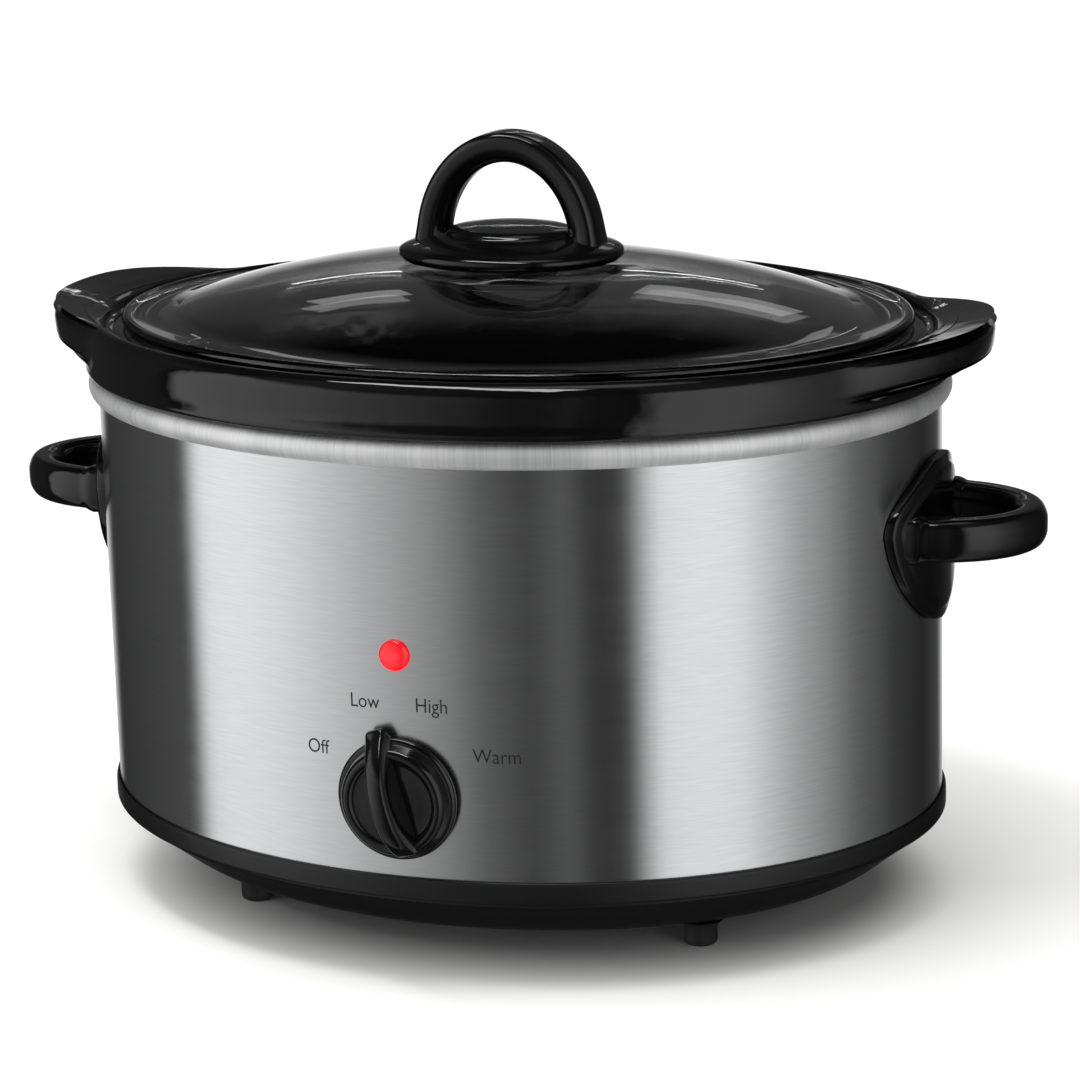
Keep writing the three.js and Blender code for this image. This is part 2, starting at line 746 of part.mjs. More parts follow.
const lensShank = lensRadius - 1;
const housingFront = bandFace - bandWall - 0.8;
const housingBack = housingFront - lampHousingDepth;
add('indicator_lens', turned([
  [0, housingFront - 3], [lensShank - 1, housingFront - 3], [lensShank - 1, housingFront],
  [lensShank, housingFront + 0.2], [lensShank, bandFace + gap], [lensRadius, bandFace + gap],
  [lensRadius, bandFace + 0.9], [lensRadius * 0.8, bandFace + lensProud - 0.5],
  [lensRadius * 0.4, bandFace + lensProud - 0.1], [0, bandFace + lensProud],
], 16), redLens, [0, 0, 0], lamp);
add('indicator_body', turned([
  [0, housingBack], [lensRadius + 0.6, housingBack], [lensRadius + 0.6, housingFront - gap],
  [lensShank - 1 + gap, housingFront - gap], [lensShank - 1 + gap, housingFront - 3 - gap],
  [0, housingFront - 3 - gap],
]), nylon, [0, 0, 0], lamp);

// ---------------------------------------------------------------- inside the base

/** Extrudes an outline in the YZ plane along X, centred on `x`. */
function alongX(points, width, x) {
  const outline = new THREE.Shape(points.map(([y, z]) => new THREE.Vector2(y, z)));
  return new THREE.ExtrudeGeometry(outline, { depth: width, bevelEnabled: false, curveSegments: 6 })
    .applyMatrix4(new THREE.Matrix4().makeBasis(
      new THREE.Vector3(0, 1, 0),
      new THREE.Vector3(0, 0, 1),
      new THREE.Vector3(1, 0, 0),
    ))
    .translate(x - width / 2, 0, 0);
}

const bracketTop = linerFloor - gap;
const bracketBottom = panFloor + panWall + gap;
function tieBracket() {
  const half = bracketSpan / 2;
  const foot = half + bracketFoot;
  const strap = solid(alongX([
    [-foot, bracketBottom], [-half, bracketBottom], [-half, bracketTop - bracketSteel],
    [half, bracketTop - bracketSteel], [half, bracketBottom], [foot, bracketBottom],
    [foot, bracketBottom + bracketSteel], [half + bracketSteel, bracketBottom + bracketSteel],
    [half + bracketSteel, bracketTop], [-half - bracketSteel, bracketTop],
    [-half - bracketSteel, bracketBottom + bracketSteel], [-foot, bracketBottom + bracketSteel],
  ], bracketWidth, 0));
  const hole = (y) => solid(rod(screwRadius + gap, bracketBottom - 2, bracketBottom + 4, 16).translate(0, y, 0));
  return surface(strap.subtract(hole(-tieScrewY)).subtract(hole(tieScrewY)));
}
add('tie_bracket', tieBracket(), zincSteel);
for (const [name, y] of [['tie_screw_front', -tieScrewY], ['tie_screw_rear', tieScrewY]]) {
  add(name, screw(screwRadius, 10, 3.6, 2.2), zincSteel, [0, y, panFloor - gap]);
}

const fuse = { x: 46, y: 18, radius: 2.2, length: 24 };
const fuseHeight = linerFloor - gap - fuse.radius;
add(
  'thermal_fuse',
  rod(fuse.radius, -fuse.length / 2, fuse.length / 2, 12).rotateY(Math.PI / 2),
  nylon,
  [fuse.x, fuse.y, fuseHeight],
);
const clipReach = fuse.radius + gap;
const clipDrop = linerFloor - gap - 2 * fuse.radius - gap;
add('fuse_clip', alongX([
  [fuse.y - clipReach - 6, linerFloor - gap - 0.8], [fuse.y - clipReach - 0.8, linerFloor - gap - 0.8],
  [fuse.y - clipReach - 0.8, clipDrop - 0.8], [fuse.y + clipReach + 0.8, clipDrop - 0.8],
  [fuse.y + clipReach + 0.8, linerFloor - gap - 0.8], [fuse.y + clipReach + 6, linerFloor - gap - 0.8],
  [fuse.y + clipReach + 6, linerFloor - gap], [fuse.y + clipReach, linerFloor - gap],
  [fuse.y + clipReach, clipDrop], [fuse.y - clipReach, clipDrop],
  [fuse.y - clipReach, linerFloor - gap], [fuse.y - clipReach - 6, linerFloor - gap],
], 8, fuse.x), zincSteel);

const terminal = { x: 26, y: halfWidth - terminalInset, length: 30, width: 14, height: 12 };
const terminalBottom = panFloor + panWall + gap;
add('terminal_block', block(
  [terminal.x - terminal.length / 2, terminal.y - terminal.width / 2, terminalBottom],
  [terminal.x + terminal.length / 2, terminal.y + terminal.width / 2, terminalBottom + terminal.height],
), nylon);

// the inlet for the lead: a flanged bush through the back of the band
const gland = turned([
  [glandBore, halfWidth - 9], [glandShank - 1, halfWidth - 9], [glandShank, halfWidth - 7],
  [glandShank, halfWidth + gap], [glandFlange, halfWidth + gap], [glandFlange, halfWidth + gap + 1.6],
  [glandFlange - 1, halfWidth + gap + 2.6], [glandBore, halfWidth + gap + 2.6], [glandBore, halfWidth - 9],
], 16);
add('cord_gland', gland.rotateX(-Math.PI / 2), rubber, [0, 0, glandHeight]);

/** A lead through a list of points, as a tube with six sides. */
function lead(points) {
  const route = new THREE.CatmullRomCurve3(points.map((point) => new THREE.Vector3(...point)));
  const section = new THREE.Shape();
  section.absarc(0, 0, leadRadius, 0, Math.PI * 2);
  return new THREE.ExtrudeGeometry(section, {
    steps: points.length * 2, extrudePath: route, bevelEnabled: false, curveSegments: 3,
  });
}

const terminalTop = terminalBottom + terminal.height;
const underLiner = linerFloor - 9;
const switchRear = -switchBack + gap + leadRadius;
add('lead_live', lead([
  [terminal.x - 6, terminal.y, terminalTop + 2 * gap],
  [terminal.x - 6, terminal.y, terminalTop + 3],
  [terminal.x - 6, terminal.y - 10, underLiner - 2],
  [terminal.x, 20, underLiner - 3],
  [terminal.x - 4, -40, underLiner - 3],
  [12, -80, underLiner - 4],
  [6, switchRear + 1.5, linerFloor + 2],
  [6, switchRear + 0.8, dialHeight - 8],
]), copperLead);
const elementTail = linerInset(elementBottom) - elementOuter / 2;
add('lead_neutral', lead([
  [terminal.x + 8, terminal.y, terminalTop + 2 * gap],
  [terminal.x + 8, terminal.y, terminalTop + 3],
  [terminal.x + 8, terminal.y + 8, underLiner - 3],
  [terminal.x + 4, halfWidth - elementTail - 2, linerFloor + 8],
  [terminal.x, (halfWidth - elementTail) * 0.985, elementBottom - 2 * gap],
]), copperLead);
add('lead_lamp', lead([
  [0, -switchFront + 4, dialHeight + switchSize / 2 + gap],
  [0, -switchFront + 4, (dialHeight + lampHeight) / 2 + 3],
  [0, -switchFront + 4, lampHeight - lensRadius - 0.6 - gap],
]), copperLead);

// ---------------------------------------------------------------- the whole cooker

// The origin is under the middle of the whole box. The knob makes the front the deeper side.
cooker.position.y = (cookerFront - cookerBack) / 2;

const slowCooker = new THREE.Group();
slowCooker.add(cooker);
export default slowCooker;
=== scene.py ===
# %% [markdown]
# # An oval slow cooker
# A slow cooker is a heated metal liner inside a steel band. A glazed stoneware pot hangs in the
# liner by its rim, and a glass lid sits in the pot's rim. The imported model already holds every
# piece at its true size and place, and says what moves. This lesson makes the surfaces: each
# visible piece gets a finer mesh, and every piece gets a material named for the real one.

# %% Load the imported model
import math

import bmesh
import bpy
from mathutils import Matrix, Vector


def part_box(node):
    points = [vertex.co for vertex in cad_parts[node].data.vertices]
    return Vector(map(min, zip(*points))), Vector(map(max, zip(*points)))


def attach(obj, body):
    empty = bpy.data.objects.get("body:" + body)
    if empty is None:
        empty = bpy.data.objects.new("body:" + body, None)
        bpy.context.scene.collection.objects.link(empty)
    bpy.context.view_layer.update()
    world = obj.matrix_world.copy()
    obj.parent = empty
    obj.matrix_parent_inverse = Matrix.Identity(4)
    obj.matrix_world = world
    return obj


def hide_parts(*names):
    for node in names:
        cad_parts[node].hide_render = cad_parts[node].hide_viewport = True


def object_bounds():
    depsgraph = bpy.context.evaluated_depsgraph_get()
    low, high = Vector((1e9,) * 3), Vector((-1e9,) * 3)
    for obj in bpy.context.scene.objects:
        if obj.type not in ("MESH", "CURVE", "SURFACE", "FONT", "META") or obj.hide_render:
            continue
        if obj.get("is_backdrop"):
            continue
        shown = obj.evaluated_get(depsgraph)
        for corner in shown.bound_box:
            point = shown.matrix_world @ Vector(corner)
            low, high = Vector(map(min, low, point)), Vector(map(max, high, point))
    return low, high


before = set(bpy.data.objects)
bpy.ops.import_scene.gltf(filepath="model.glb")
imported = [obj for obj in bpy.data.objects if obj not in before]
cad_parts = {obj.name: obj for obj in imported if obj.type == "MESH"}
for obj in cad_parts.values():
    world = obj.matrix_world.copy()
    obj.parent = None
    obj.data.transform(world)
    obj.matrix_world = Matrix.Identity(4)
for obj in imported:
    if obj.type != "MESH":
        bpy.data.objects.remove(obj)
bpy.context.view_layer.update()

scene = bpy.context.scene
print("nodes:", len(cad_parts))

# %% [markdown]
# ## One set of coordinates
# The whole body is a family of ovals about one upright line. The steel band is the oval that
# the others are measured from, so its box gives the line and the two half widths. Sizes are
# written in millimetres about that line, and `at` turns them into metres in the frame.

# %% Millimetres about the oval's centre
MM = 0.001
GAP = 0.3  # between pieces that touch

low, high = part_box("outer_band")
HALF_LENGTH = (high[0] - low[0]) / 2 / MM
HALF_WIDTH = (high[1] - low[1]) / 2 / MM
BAND_BOTTOM = low[2] / MM
BAND_TOP = high[2] / MM
CENTRE_Y = (high[1] + low[1]) / 2 / MM


def at(x, y, z):
    """A place in the frame, in metres, from millimetres about the oval's centre."""
    return Vector((x, y + CENTRE_Y, z)) * MM


def oval_x(y, outset=0.0):
    """How far along X an oval is at y. It stands `outset` outside the band."""
    return (HALF_LENGTH + outset) * math.sqrt(max(0.0, 1 - (y / (HALF_WIDTH + outset)) ** 2))


def oval_y(x, outset=0.0):
    """How far along Y an oval is at x."""
    return (HALF_WIDTH + outset) * math.sqrt(max(0.0, 1 - (x / (HALF_LENGTH + outset)) ** 2))


print("band: %.1f by %.1f mm, from %.1f to %.1f" % (
    2 * HALF_LENGTH, 2 * HALF_WIDTH, BAND_BOTTOM, BAND_TOP))

# %% [markdown]
# ## Meshes from outlines
# Nearly every piece here was pressed, spun, cast or moulded, so its shape is one outline carried
# round or along something. `soften` rounds the outline's corners, as a tool's radius does.
# `skin` covers a row of rings with faces. The two together do the work of a lofting tool.

# %% Outlines and skins
SIDES = 224


def soften(outline, radius, closed=False, steps=4):
    """Rounds each corner of an outline, of any dimension, with a short curve."""
    corners = [Vector(point) for point in outline]
    rounded = []
    for i, corner in enumerate(corners):
        if not closed and i in (0, len(corners) - 1):
            rounded.append(corner)
            continue
        back = corners[i - 1] - corner
        ahead = corners[(i + 1) % len(corners)] - corner
        reach = min(radius, back.length * 0.48, ahead.length * 0.48)
        start = corner + back.normalized() * reach
        end = corner + ahead.normalized() * reach
        for step in range(steps + 1):
            t = step / steps
            rounded.append(start * (1 - t) ** 2 + corner * (2 * t * (1 - t)) + end * t * t)
    return rounded


def skin(rings, looped=False):
    """Covers a row of equal rings. A looped row meets itself, any other is closed by flat ends."""
    count = len(rings[0])
    points = [tuple(point) for ring in rings for point in ring]
    faces = []
    last = len(rings) if looped else len(rings) - 1
    for row in range(last):
        here = row * count
        there = (row + 1) % len(rings) * count
        for i in range(count):
            j = (i + 1) % count
            faces.append((here + i, here + j, there + j, there + i))
    if not looped:
        faces.append(tuple(range(count)))
        faces.append(tuple(range(len(points) - count, len(points))))
    return points, faces


def joined(*shells):
    """Several skins in one mesh."""
    points = []
    faces = []
    for shell_points, shell_faces in shells:
        start = len(points)
        points += shell_points
        faces += [tuple(start + i for i in face) for face in shell_faces]
    return points, faces


def mesh_from(name, shell, weld=True):
    """A mesh in the frame, faces outwards. Points of a welded one that coincide become one."""
    points, faces = shell
    mesh = bpy.data.meshes.new(name)
    mesh.from_pydata([at(*point) for point in points], [], faces)
    work = bmesh.new()
    work.from_mesh(mesh)
    if weld:
        bmesh.ops.remove_doubles(work, verts=work.verts, dist=1e-7)
    bmesh.ops.recalc_face_normals(work, faces=work.faces)
    work.to_mesh(mesh)
    work.free()
    return mesh


def piece(name, shell, material, body, stands_for=(), crease=38):
    """Makes one object of the cooker, riding on a body, and hides the CAD nodes it stands for."""
    mesh = mesh_from(name, shell)
    mesh.shade_smooth()
    mesh.set_sharp_from_angle(angle=math.radians(crease))
    mesh.materials.append(material)
    made = bpy.data.objects.new(name, mesh)
    scene.collection.objects.link(made)
    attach(made, body)
    if stands_for:
        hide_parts(*stands_for)
    print("%s: %d faces" % (name, len(mesh.polygons)))
    return made


# %% [markdown]
# ## Materials by name
# Each finish is one material named for what the real piece is made of and how its surface was
# made. Colours are written as the sRGB hex values of a colour card, and turned to the linear
# values that light is reckoned in. One small function adds every node of every material.

# %% Colour, node and finish helpers
def colour(code):
    """Linear colour from an sRGB hex value such as #b9bbbd."""
    parts = [int(code[i:i + 2], 16) / 255 for i in (1, 3, 5)]
    linear = [p / 12.92 if p <= 0.04045 else ((p + 0.055) / 1.055) ** 2.4 for p in parts]
    return (*linear, 1.0)


def give(tree, made, inputs):
    """Gives each named input of a node a value, or the output socket that feeds it."""
    for name, value in inputs.items():
        if isinstance(value, bpy.types.NodeSocket):
            tree.links.new(value, made.inputs[name])
        else:
            made.inputs[name].default_value = value


def node(tree, kind, inputs=None, **settings):
    """Adds a node with its settings and inputs."""
    made = tree.nodes.new(kind)
    for name, value in settings.items():
        setattr(made, name, value)
    give(tree, made, inputs or {})
    return made


def finish(name, slot, **sockets):
    """Starts a material: one shader with its fixed settings, and the place in millimetres."""
    material = bpy.data.materials.new(name)
    material["slot"] = slot
    material.use_nodes = True
    tree = material.node_tree
    tree.nodes.clear()
    shader = node(tree, "ShaderNodeBsdfPrincipled", {
        key.replace("_", " ").title().replace("Ior", "IOR"): value for key, value in sockets.items()
    })
    node(tree, "ShaderNodeOutputMaterial", {"Surface": shader.outputs["BSDF"]})
    place = node(tree, "ShaderNodeTexCoord").outputs["Object"]
    millimetres = node(tree, "ShaderNodeVectorMath", {0: place, 3: 1 / MM}, operation="SCALE")
    return material, tree, shader, millimetres.outputs[0]


def stretched(tree, place, x, y, z):
    """The place divided by a pattern's length along each axis, in millimetres."""
    return node(tree, "ShaderNodeVectorMath", {0: place, 1: (1 / x, 1 / y, 1 / z)},
                operation="MULTIPLY").outputs[0]


def spread(tree, value, low_value, high_value, start=0.3, stop=0.7):
    """Stretches a noise value, which mostly lies between start and stop, over a new range."""
    return node(tree, "ShaderNodeMapRange", {
        "Value": value, "From Min": start, "From Max": stop, "To Min": low_value, "To Max": high_value,
    }).outputs["Result"]


def tint(tree, factor, first, second):
    """A colour between two hex values."""
    return node(tree, "ShaderNodeMix", {
        "Factor": factor, 6: colour(first), 7: colour(second),
    }, data_type="RGBA").outputs[2]


def mottled(name, slot, size, detail, colours, roughness, relief=None, **sockets):
    """A material whose colour and roughness drift together over patches of one size."""
    material, tree, shader, place = finish(name, slot, **sockets)
    patches = node(tree, "ShaderNodeTexNoise", {"Vector": place, "Scale": 1 / size, "Detail": detail})
    give(tree, shader, {"Base Color": tint(tree, patches.outputs[0], *colours),
                        "Roughness": spread(tree, patches.outputs[0], *roughness)})
    if relief:
        strength, depth = relief
        bump = node(tree, "ShaderNodeBump", {
            "Strength": strength, "Distance": depth * MM, "Height": patches.outputs[0]})
        give(tree, shader, {"Normal": bump.outputs[0]})
    return material


# %% [markdown]
# ## The camera
# The view is from a little to the right and above, with a long lens, so that the sides barely
# close in. A long lens far away is what a catalogue picture uses, because it keeps shapes true.

# %% Camera
CAMERA_AZIMUTH = math.radians(20.08)
CAMERA_ELEVATION = math.radians(14.67)
CAMERA_ROLL = math.radians(-1.56)
CAMERA_DISTANCE = 1278.9
CAMERA_LENS = 125.78
AIM_HEIGHT = 117.3
AIM_ACROSS = 6.93  # how far right of the oval's centre the camera aims

turn_s, turn_c = math.sin(CAMERA_AZIMUTH), math.cos(CAMERA_AZIMUTH)
tilt_s, tilt_c = math.sin(CAMERA_ELEVATION), math.cos(CAMERA_ELEVATION)
backward = Vector((turn_s * tilt_c, -turn_c * tilt_c, tilt_s))
level = Vector((turn_c, turn_s, 0))
upward = backward.cross(level)
across = level * math.cos(CAMERA_ROLL) + upward * math.sin(CAMERA_ROLL)
upright = upward * math.cos(CAMERA_ROLL) - level * math.sin(CAMERA_ROLL)
look_at = at(0, 0, AIM_HEIGHT) + across * AIM_ACROSS * MM
eye = look_at + backward * CAMERA_DISTANCE * MM

camera_data = bpy.data.cameras.new("studio_camera")
camera_data.lens = CAMERA_LENS
camera_data.sensor_width = 36
camera = bpy.data.objects.new("studio_camera", camera_data)
turned_view = Matrix((across, upright, backward)).transposed().to_4x4()
camera.matrix_world = Matrix.Translation(eye) @ turned_view
scene.collection.objects.link(camera)
scene.camera = camera
scene.view_settings.view_transform = "Standard"
print("camera at", [round(value, 3) for value in eye])

# %% [markdown]
# ## The studio
# Polished black and brushed steel show the room rather than themselves, so the studio's lights
# are shapes: tall white panels with dark gaps between them. They are drawn on the world as
# brightness by direction round the cooker. A panel with a hard edge gives the steel its crisp
# dark band, and one that fades out gives the soft shading beside it. The floor is plain and
# pale, and the panels carry on below it for reflections, as light boards laid on a table do.

# %% Studio panels
PANELS = [  # degrees round from the front, and brightness there
    (-180, 0.08), (-150, 0.08), (-135, 0.03), (-86, 0.07), (-80, 0.01), (-75, 0.98), (-60, 0.95),
    (-50, 0.86), (-28, 0.50), (-12, 0.27), (-3, 0.12), (8, 0.05), (16, 0.12), (22, 0.035), (31, 0.03),
    (35, 0.50), (39, 0.92), (50, 0.96), (60, 0.93), (69, 0.69), (80, 0.44), (104, 0.14),
    (125, 0.05), (150, 0.02), (170, 0.06), (180, 0.08),
]
HEIGHTS = [  # degrees up from the level, and brightness there
    (-90, 0.35), (-40, 0.45), (-24, 0.72), (-8, 1.0), (36, 1.0), (44, 0.10), (90, 0.10)]
PANEL_STRENGTH = 1.16


def drawn_by_angle(tree, angle, limit, table):
    """Brightness from an angle in radians. The table gives it at degrees from -limit to limit."""
    reach = math.radians(limit)
    share = node(tree, "ShaderNodeMapRange", {"Value": angle, "From Min": -reach, "From Max": reach})
    ramp = node(tree, "ShaderNodeValToRGB", {"Fac": share.outputs["Result"]})
    stops = ramp.color_ramp.elements
    while len(stops) > 1:
        stops.remove(stops[-1])
    for number, (degrees, brightness) in enumerate(table):
        position = (degrees + limit) / (2 * limit)
        stop = stops[0] if number == 0 else stops.new(position)
        stop.position = position
        stop.color = (brightness, brightness, brightness, 1)
    return ramp.outputs["Color"]


world = bpy.data.worlds.new("studio")
scene.world = world
world.use_nodes = True
sky = world.node_tree
sky.nodes.clear()
direction = node(sky, "ShaderNodeTexCoord").outputs["Generated"]
parts = node(sky, "ShaderNodeSeparateXYZ", {0: direction})
forward = node(sky, "ShaderNodeMath", {0: parts.outputs["Y"], 1: -1.0}, operation="MULTIPLY")
azimuth = node(sky, "ShaderNodeMath", {0: parts.outputs["X"], 1: forward.outputs[0]},
               operation="ARCTAN2")
height = node(sky, "ShaderNodeMath", {0: parts.outputs["Z"]}, operation="ARCSINE")
lit = node(sky, "ShaderNodeMix", {
    "Factor": 1.0,
    6: drawn_by_angle(sky, azimuth.outputs[0], 180, PANELS),
    7: drawn_by_angle(sky, height.outputs[0], 90, HEIGHTS),
}, data_type="RGBA", blend_type="MULTIPLY")

# %% Ceiling and far floor
# Each glow starts and is full at a cosine: of the angle from straight up, or straight behind.
CEILING = 0.8
CEILING_EDGE = (0.955, 0.995)
FAR_FLOOR = 0.85
FAR_FLOOR_EDGE = (0.86, 0.97)
HORIZON = (0.10, -0.12)  # the floor's glow starts just above the level and is full below it
overhead = spread(sky, parts.outputs["Z"], 0, CEILING, *CEILING_EDGE)
away = node(sky, "ShaderNodeVectorMath", {
    0: direction, 1: (-turn_s, turn_c, 0)}, operation="DOT_PRODUCT")
behind = spread(sky, away.outputs["Value"], 0, FAR_FLOOR, *FAR_FLOOR_EDGE)
below = spread(sky, parts.outputs["Z"], 0, 1, *HORIZON)
glow = node(sky, "ShaderNodeMath", {0: behind, 1: below, 2: overhead}, operation="MULTIPLY_ADD")
total = node(sky, "ShaderNodeMix", {
    "Factor": 1.0, 6: lit.outputs[2], 7: glow.outputs[0]}, data_type="RGBA", blend_type="ADD")
studio = node(sky, "ShaderNodeBackground", {"Color": total.outputs[2], "Strength": PANEL_STRENGTH})
backdrop = node(sky, "ShaderNodeBackground", {"Color": colour("#fafafa"), "Strength": 1.0})
seen = node(sky, "ShaderNodeMixShader", {
    0: node(sky, "ShaderNodeLightPath").outputs["Is Camera Ray"],
    1: studio.outputs[0], 2: backdrop.outputs[0],
})
node(sky, "ShaderNodeOutputWorld", {"Surface": seen.outputs[0]})
print("panels:", len(PANELS), "world nodes:", len(sky.nodes))

# %% [markdown]
# ## Lamps
# One very wide sun lights matt surfaces from above. It is kept out of reflections and out of
# glass, where it would show as a disc. Four small lamps draw highlights on rim, lid and knob.

# %% Soft lamps
SUN_STRENGTH = 3.5
SUN_WIDTH = math.radians(95)

sun_data = bpy.data.lights.new("high_soft_light", "SUN")
sun_data.energy = SUN_STRENGTH
sun_data.angle = SUN_WIDTH
sun = bpy.data.objects.new("high_soft_light", sun_data)
sun.rotation_euler = (math.radians(8), math.radians(-6), 0)
sun.visible_glossy = False
sun.visible_transmission = False
scene.collection.objects.link(sun)


def soft_panel(name, place, size, power, aim=(0, 0, 0.2)):
    """A rectangular lamp that faces the lid. Places and sizes are in metres, power in watts."""
    data = bpy.data.lights.new(name, "AREA")
    data.shape = "RECTANGLE"
    data.size, data.size_y = size
    data.energy = power
    lamp = bpy.data.objects.new(name, data)
    lamp.location = place
    lamp.rotation_euler = (Vector(aim) - Vector(place)).to_track_quat("-Z", "Y").to_euler()
    lamp.visible_camera = False
    scene.collection.objects.link(lamp)


soft_panel("overhead_strip", (-0.25, -0.35, 1.5), (1.0, 0.22), 6)
soft_panel("rear_strip", (-0.68, 1.88, 0.80), (0.80, 0.006), 0.14)
soft_panel("rear_window_left", (-0.98, 1.65, 1.22), (0.22, 0.12), 0.07)
soft_panel("rear_window_right", (-0.28, 1.90, 1.16), (0.36, 0.20), 0.16)
print("lamps:", len(bpy.data.lights))

# %% Pale floor
paper, tree, shader, place = finish("pale_matt_floor", "floor", base_color=colour("#f1f1f0"),
                                    roughness=0.85, specular_ior_level=0.2)
grain = node(tree, "ShaderNodeTexNoise", {"Vector": place, "Scale": 1 / 400.0, "Detail": 2.0})
give(tree, shader, {"Base Color": tint(tree, grain.outputs[0], "#f0f0ef", "#f3f3f2")})
FLOOR_HALF = 6.0  # metres
floor_mesh = bpy.data.meshes.new("pale_floor")
floor_mesh.from_pydata(
    [(-FLOOR_HALF, -FLOOR_HALF, 0), (FLOOR_HALF, -FLOOR_HALF, 0),
     (FLOOR_HALF, FLOOR_HALF, 0), (-FLOOR_HALF, FLOOR_HALF, 0)], [], [(0, 1, 2, 3)])
floor_mesh.materials.append(paper)
floor = bpy.data.objects.new("pale_floor", floor_mesh)
floor.visible_glossy = False
scene.collection.objects.link(floor)
floor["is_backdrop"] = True

# %% [markdown]
# ## Brushed stainless steel
# The band is stainless sheet, brushed along its length with a belt before it was rolled into an
# oval. The scratches run round the body, so a reflection is smeared up and down and stays crisp
# from side to side: that is anisotropy. The scratches are about 0.05 mm apart on the real sheet
# and are drawn about 0.5 mm apart here, because finer ones would not show.

# %% Stainless sheet, belt brushed
stainless, tree, shader, place = finish("brushed_stainless", "brushed_stainless", metallic=1.0,
                                        anisotropic=0.88, anisotropic_rotation=0.25)
fine = node(tree, "ShaderNodeTexNoise", {
    "Vector": stretched(tree, place, 9, 9, 0.45), "Scale": 1.0, "Detail": 1.0, "Roughness": 0.6})
broad = node(tree, "ShaderNodeTexNoise", {
    "Vector": stretched(tree, place, 120, 120, 9), "Scale": 1.0, "Detail": 2.0})
bump = node(tree, "ShaderNodeBump", {
    "Strength": 0.03, "Distance": 0.008 * MM, "Height": fine.outputs[0]})
tangent = node(tree, "ShaderNodeTangent", direction_type="RADIAL", axis="Z")
give(tree, shader, {
    "Base Color": tint(tree, spread(tree, fine.outputs[0], 0, 1), "#e1e2e3", "#e7e8e9"),
    "Roughness": spread(tree, broad.outputs[0], 0.20, 0.23),
    "Normal": bump.outputs[0], "Tangent": tangent.outputs[0],
})

# %% [markdown]
# ## Satin aluminium
# The liner is one deep-drawn aluminium pan. Its top edge is rolled outwards into a bead, and
# the bead was finished across its length, so fine marks run over it from inside to outside.
# The marks are found from the direction round the oval, so they fan out evenly.

# %% Drawn aluminium, satin finished across the bead
aluminium, tree, shader, place = finish("satin_aluminium", "satin_aluminium", metallic=0.7)
shape = node(tree, "ShaderNodeTexCoord").outputs["Generated"]
centred = node(tree, "ShaderNodeVectorMath", {0: shape, 1: (0.5, 0.5, 0.5)}, operation="SUBTRACT")
flat = node(tree, "ShaderNodeVectorMath", {
    0: centred.outputs[0], 1: (1, 1, 0)}, operation="MULTIPLY")
heading = node(tree, "ShaderNodeVectorMath", {0: flat.outputs[0]}, operation="NORMALIZE")
marks = node(tree, "ShaderNodeTexNoise", {
    "Vector": heading.outputs[0], "Scale": HALF_LENGTH / 1.1, "Detail": 3.0, "Roughness": 0.65})
patches = node(tree, "ShaderNodeTexNoise", {
    "Vector": heading.outputs[0], "Scale": HALF_LENGTH / 18, "Detail": 2.0})
worn = node(tree, "ShaderNodeMath", {0: marks.outputs[0], 1: patches.outputs[0]}, operation="ADD")
bump = node(tree, "ShaderNodeBump", {
    "Strength": 0.35, "Distance": 0.12 * MM, "Height": marks.outputs[0]})
give(tree, shader, {
    "Base Color": tint(tree, spread(tree, worn.outputs[0], 0, 1, 0.7, 1.3), "#d2d3d4", "#f4f4f4"),
    "Roughness": spread(tree, worn.outputs[0], 0.38, 0.52, 0.7, 1.3),
    "Normal": bump.outputs[0],
})

# %% [markdown]
# ## Black glaze
# The pot is stoneware, dipped in a black glaze and fired. A glaze is a thick skin of glass, so
# it is very glossy, but it settles in slow waves a few millimetres long, and bubbles leave a
# pinhole here and there. The waves are why a straight lamp looks ragged in the rim.

# %% Stoneware under gloss black glaze
glaze, tree, shader, place = finish("black_glazed_stoneware", "glazed_stoneware",
                                    roughness=0.05, ior=1.54)
cloud = node(tree, "ShaderNodeTexNoise", {"Vector": place, "Scale": 1 / 30.0, "Detail": 3.0})
swell = node(tree, "ShaderNodeTexNoise", {"Vector": place, "Scale": 1 / 16.0, "Detail": 2.0})
ripple = node(tree, "ShaderNodeTexNoise", {"Vector": place, "Scale": 1 / 3.5, "Detail": 1.0})
dots = node(tree, "ShaderNodeTexVoronoi", {"Vector": place, "Scale": 1 / 11.0, "Randomness": 1.0})
pinholes = spread(tree, dots.outputs["Distance"], -1.0, 0.0, 0.018, 0.032)
waves = node(tree, "ShaderNodeBump", {
    "Strength": 1.0, "Distance": 0.30 * MM, "Height": swell.outputs[0]})
waves_fine = node(tree, "ShaderNodeBump", {
    "Strength": 1.0, "Distance": 0.012 * MM, "Height": ripple.outputs[0], "Normal": waves.outputs[0]})
pits = node(tree, "ShaderNodeBump", {
    "Strength": 0.6, "Distance": 0.08 * MM, "Height": pinholes, "Normal": waves_fine.outputs[0]})
give(tree, shader, {
    "Base Color": tint(tree, cloud.outputs[0], "#050506", "#0b0b0c"), "Normal": pits.outputs[0]})

# %% [markdown]
# ## Pressed glass
# The lid is soda-lime glass, pressed and toughened. It is clear with a faint waviness, and it
# bends light, so the pot below looks slightly moved and the thick rim gathers bright and dark.

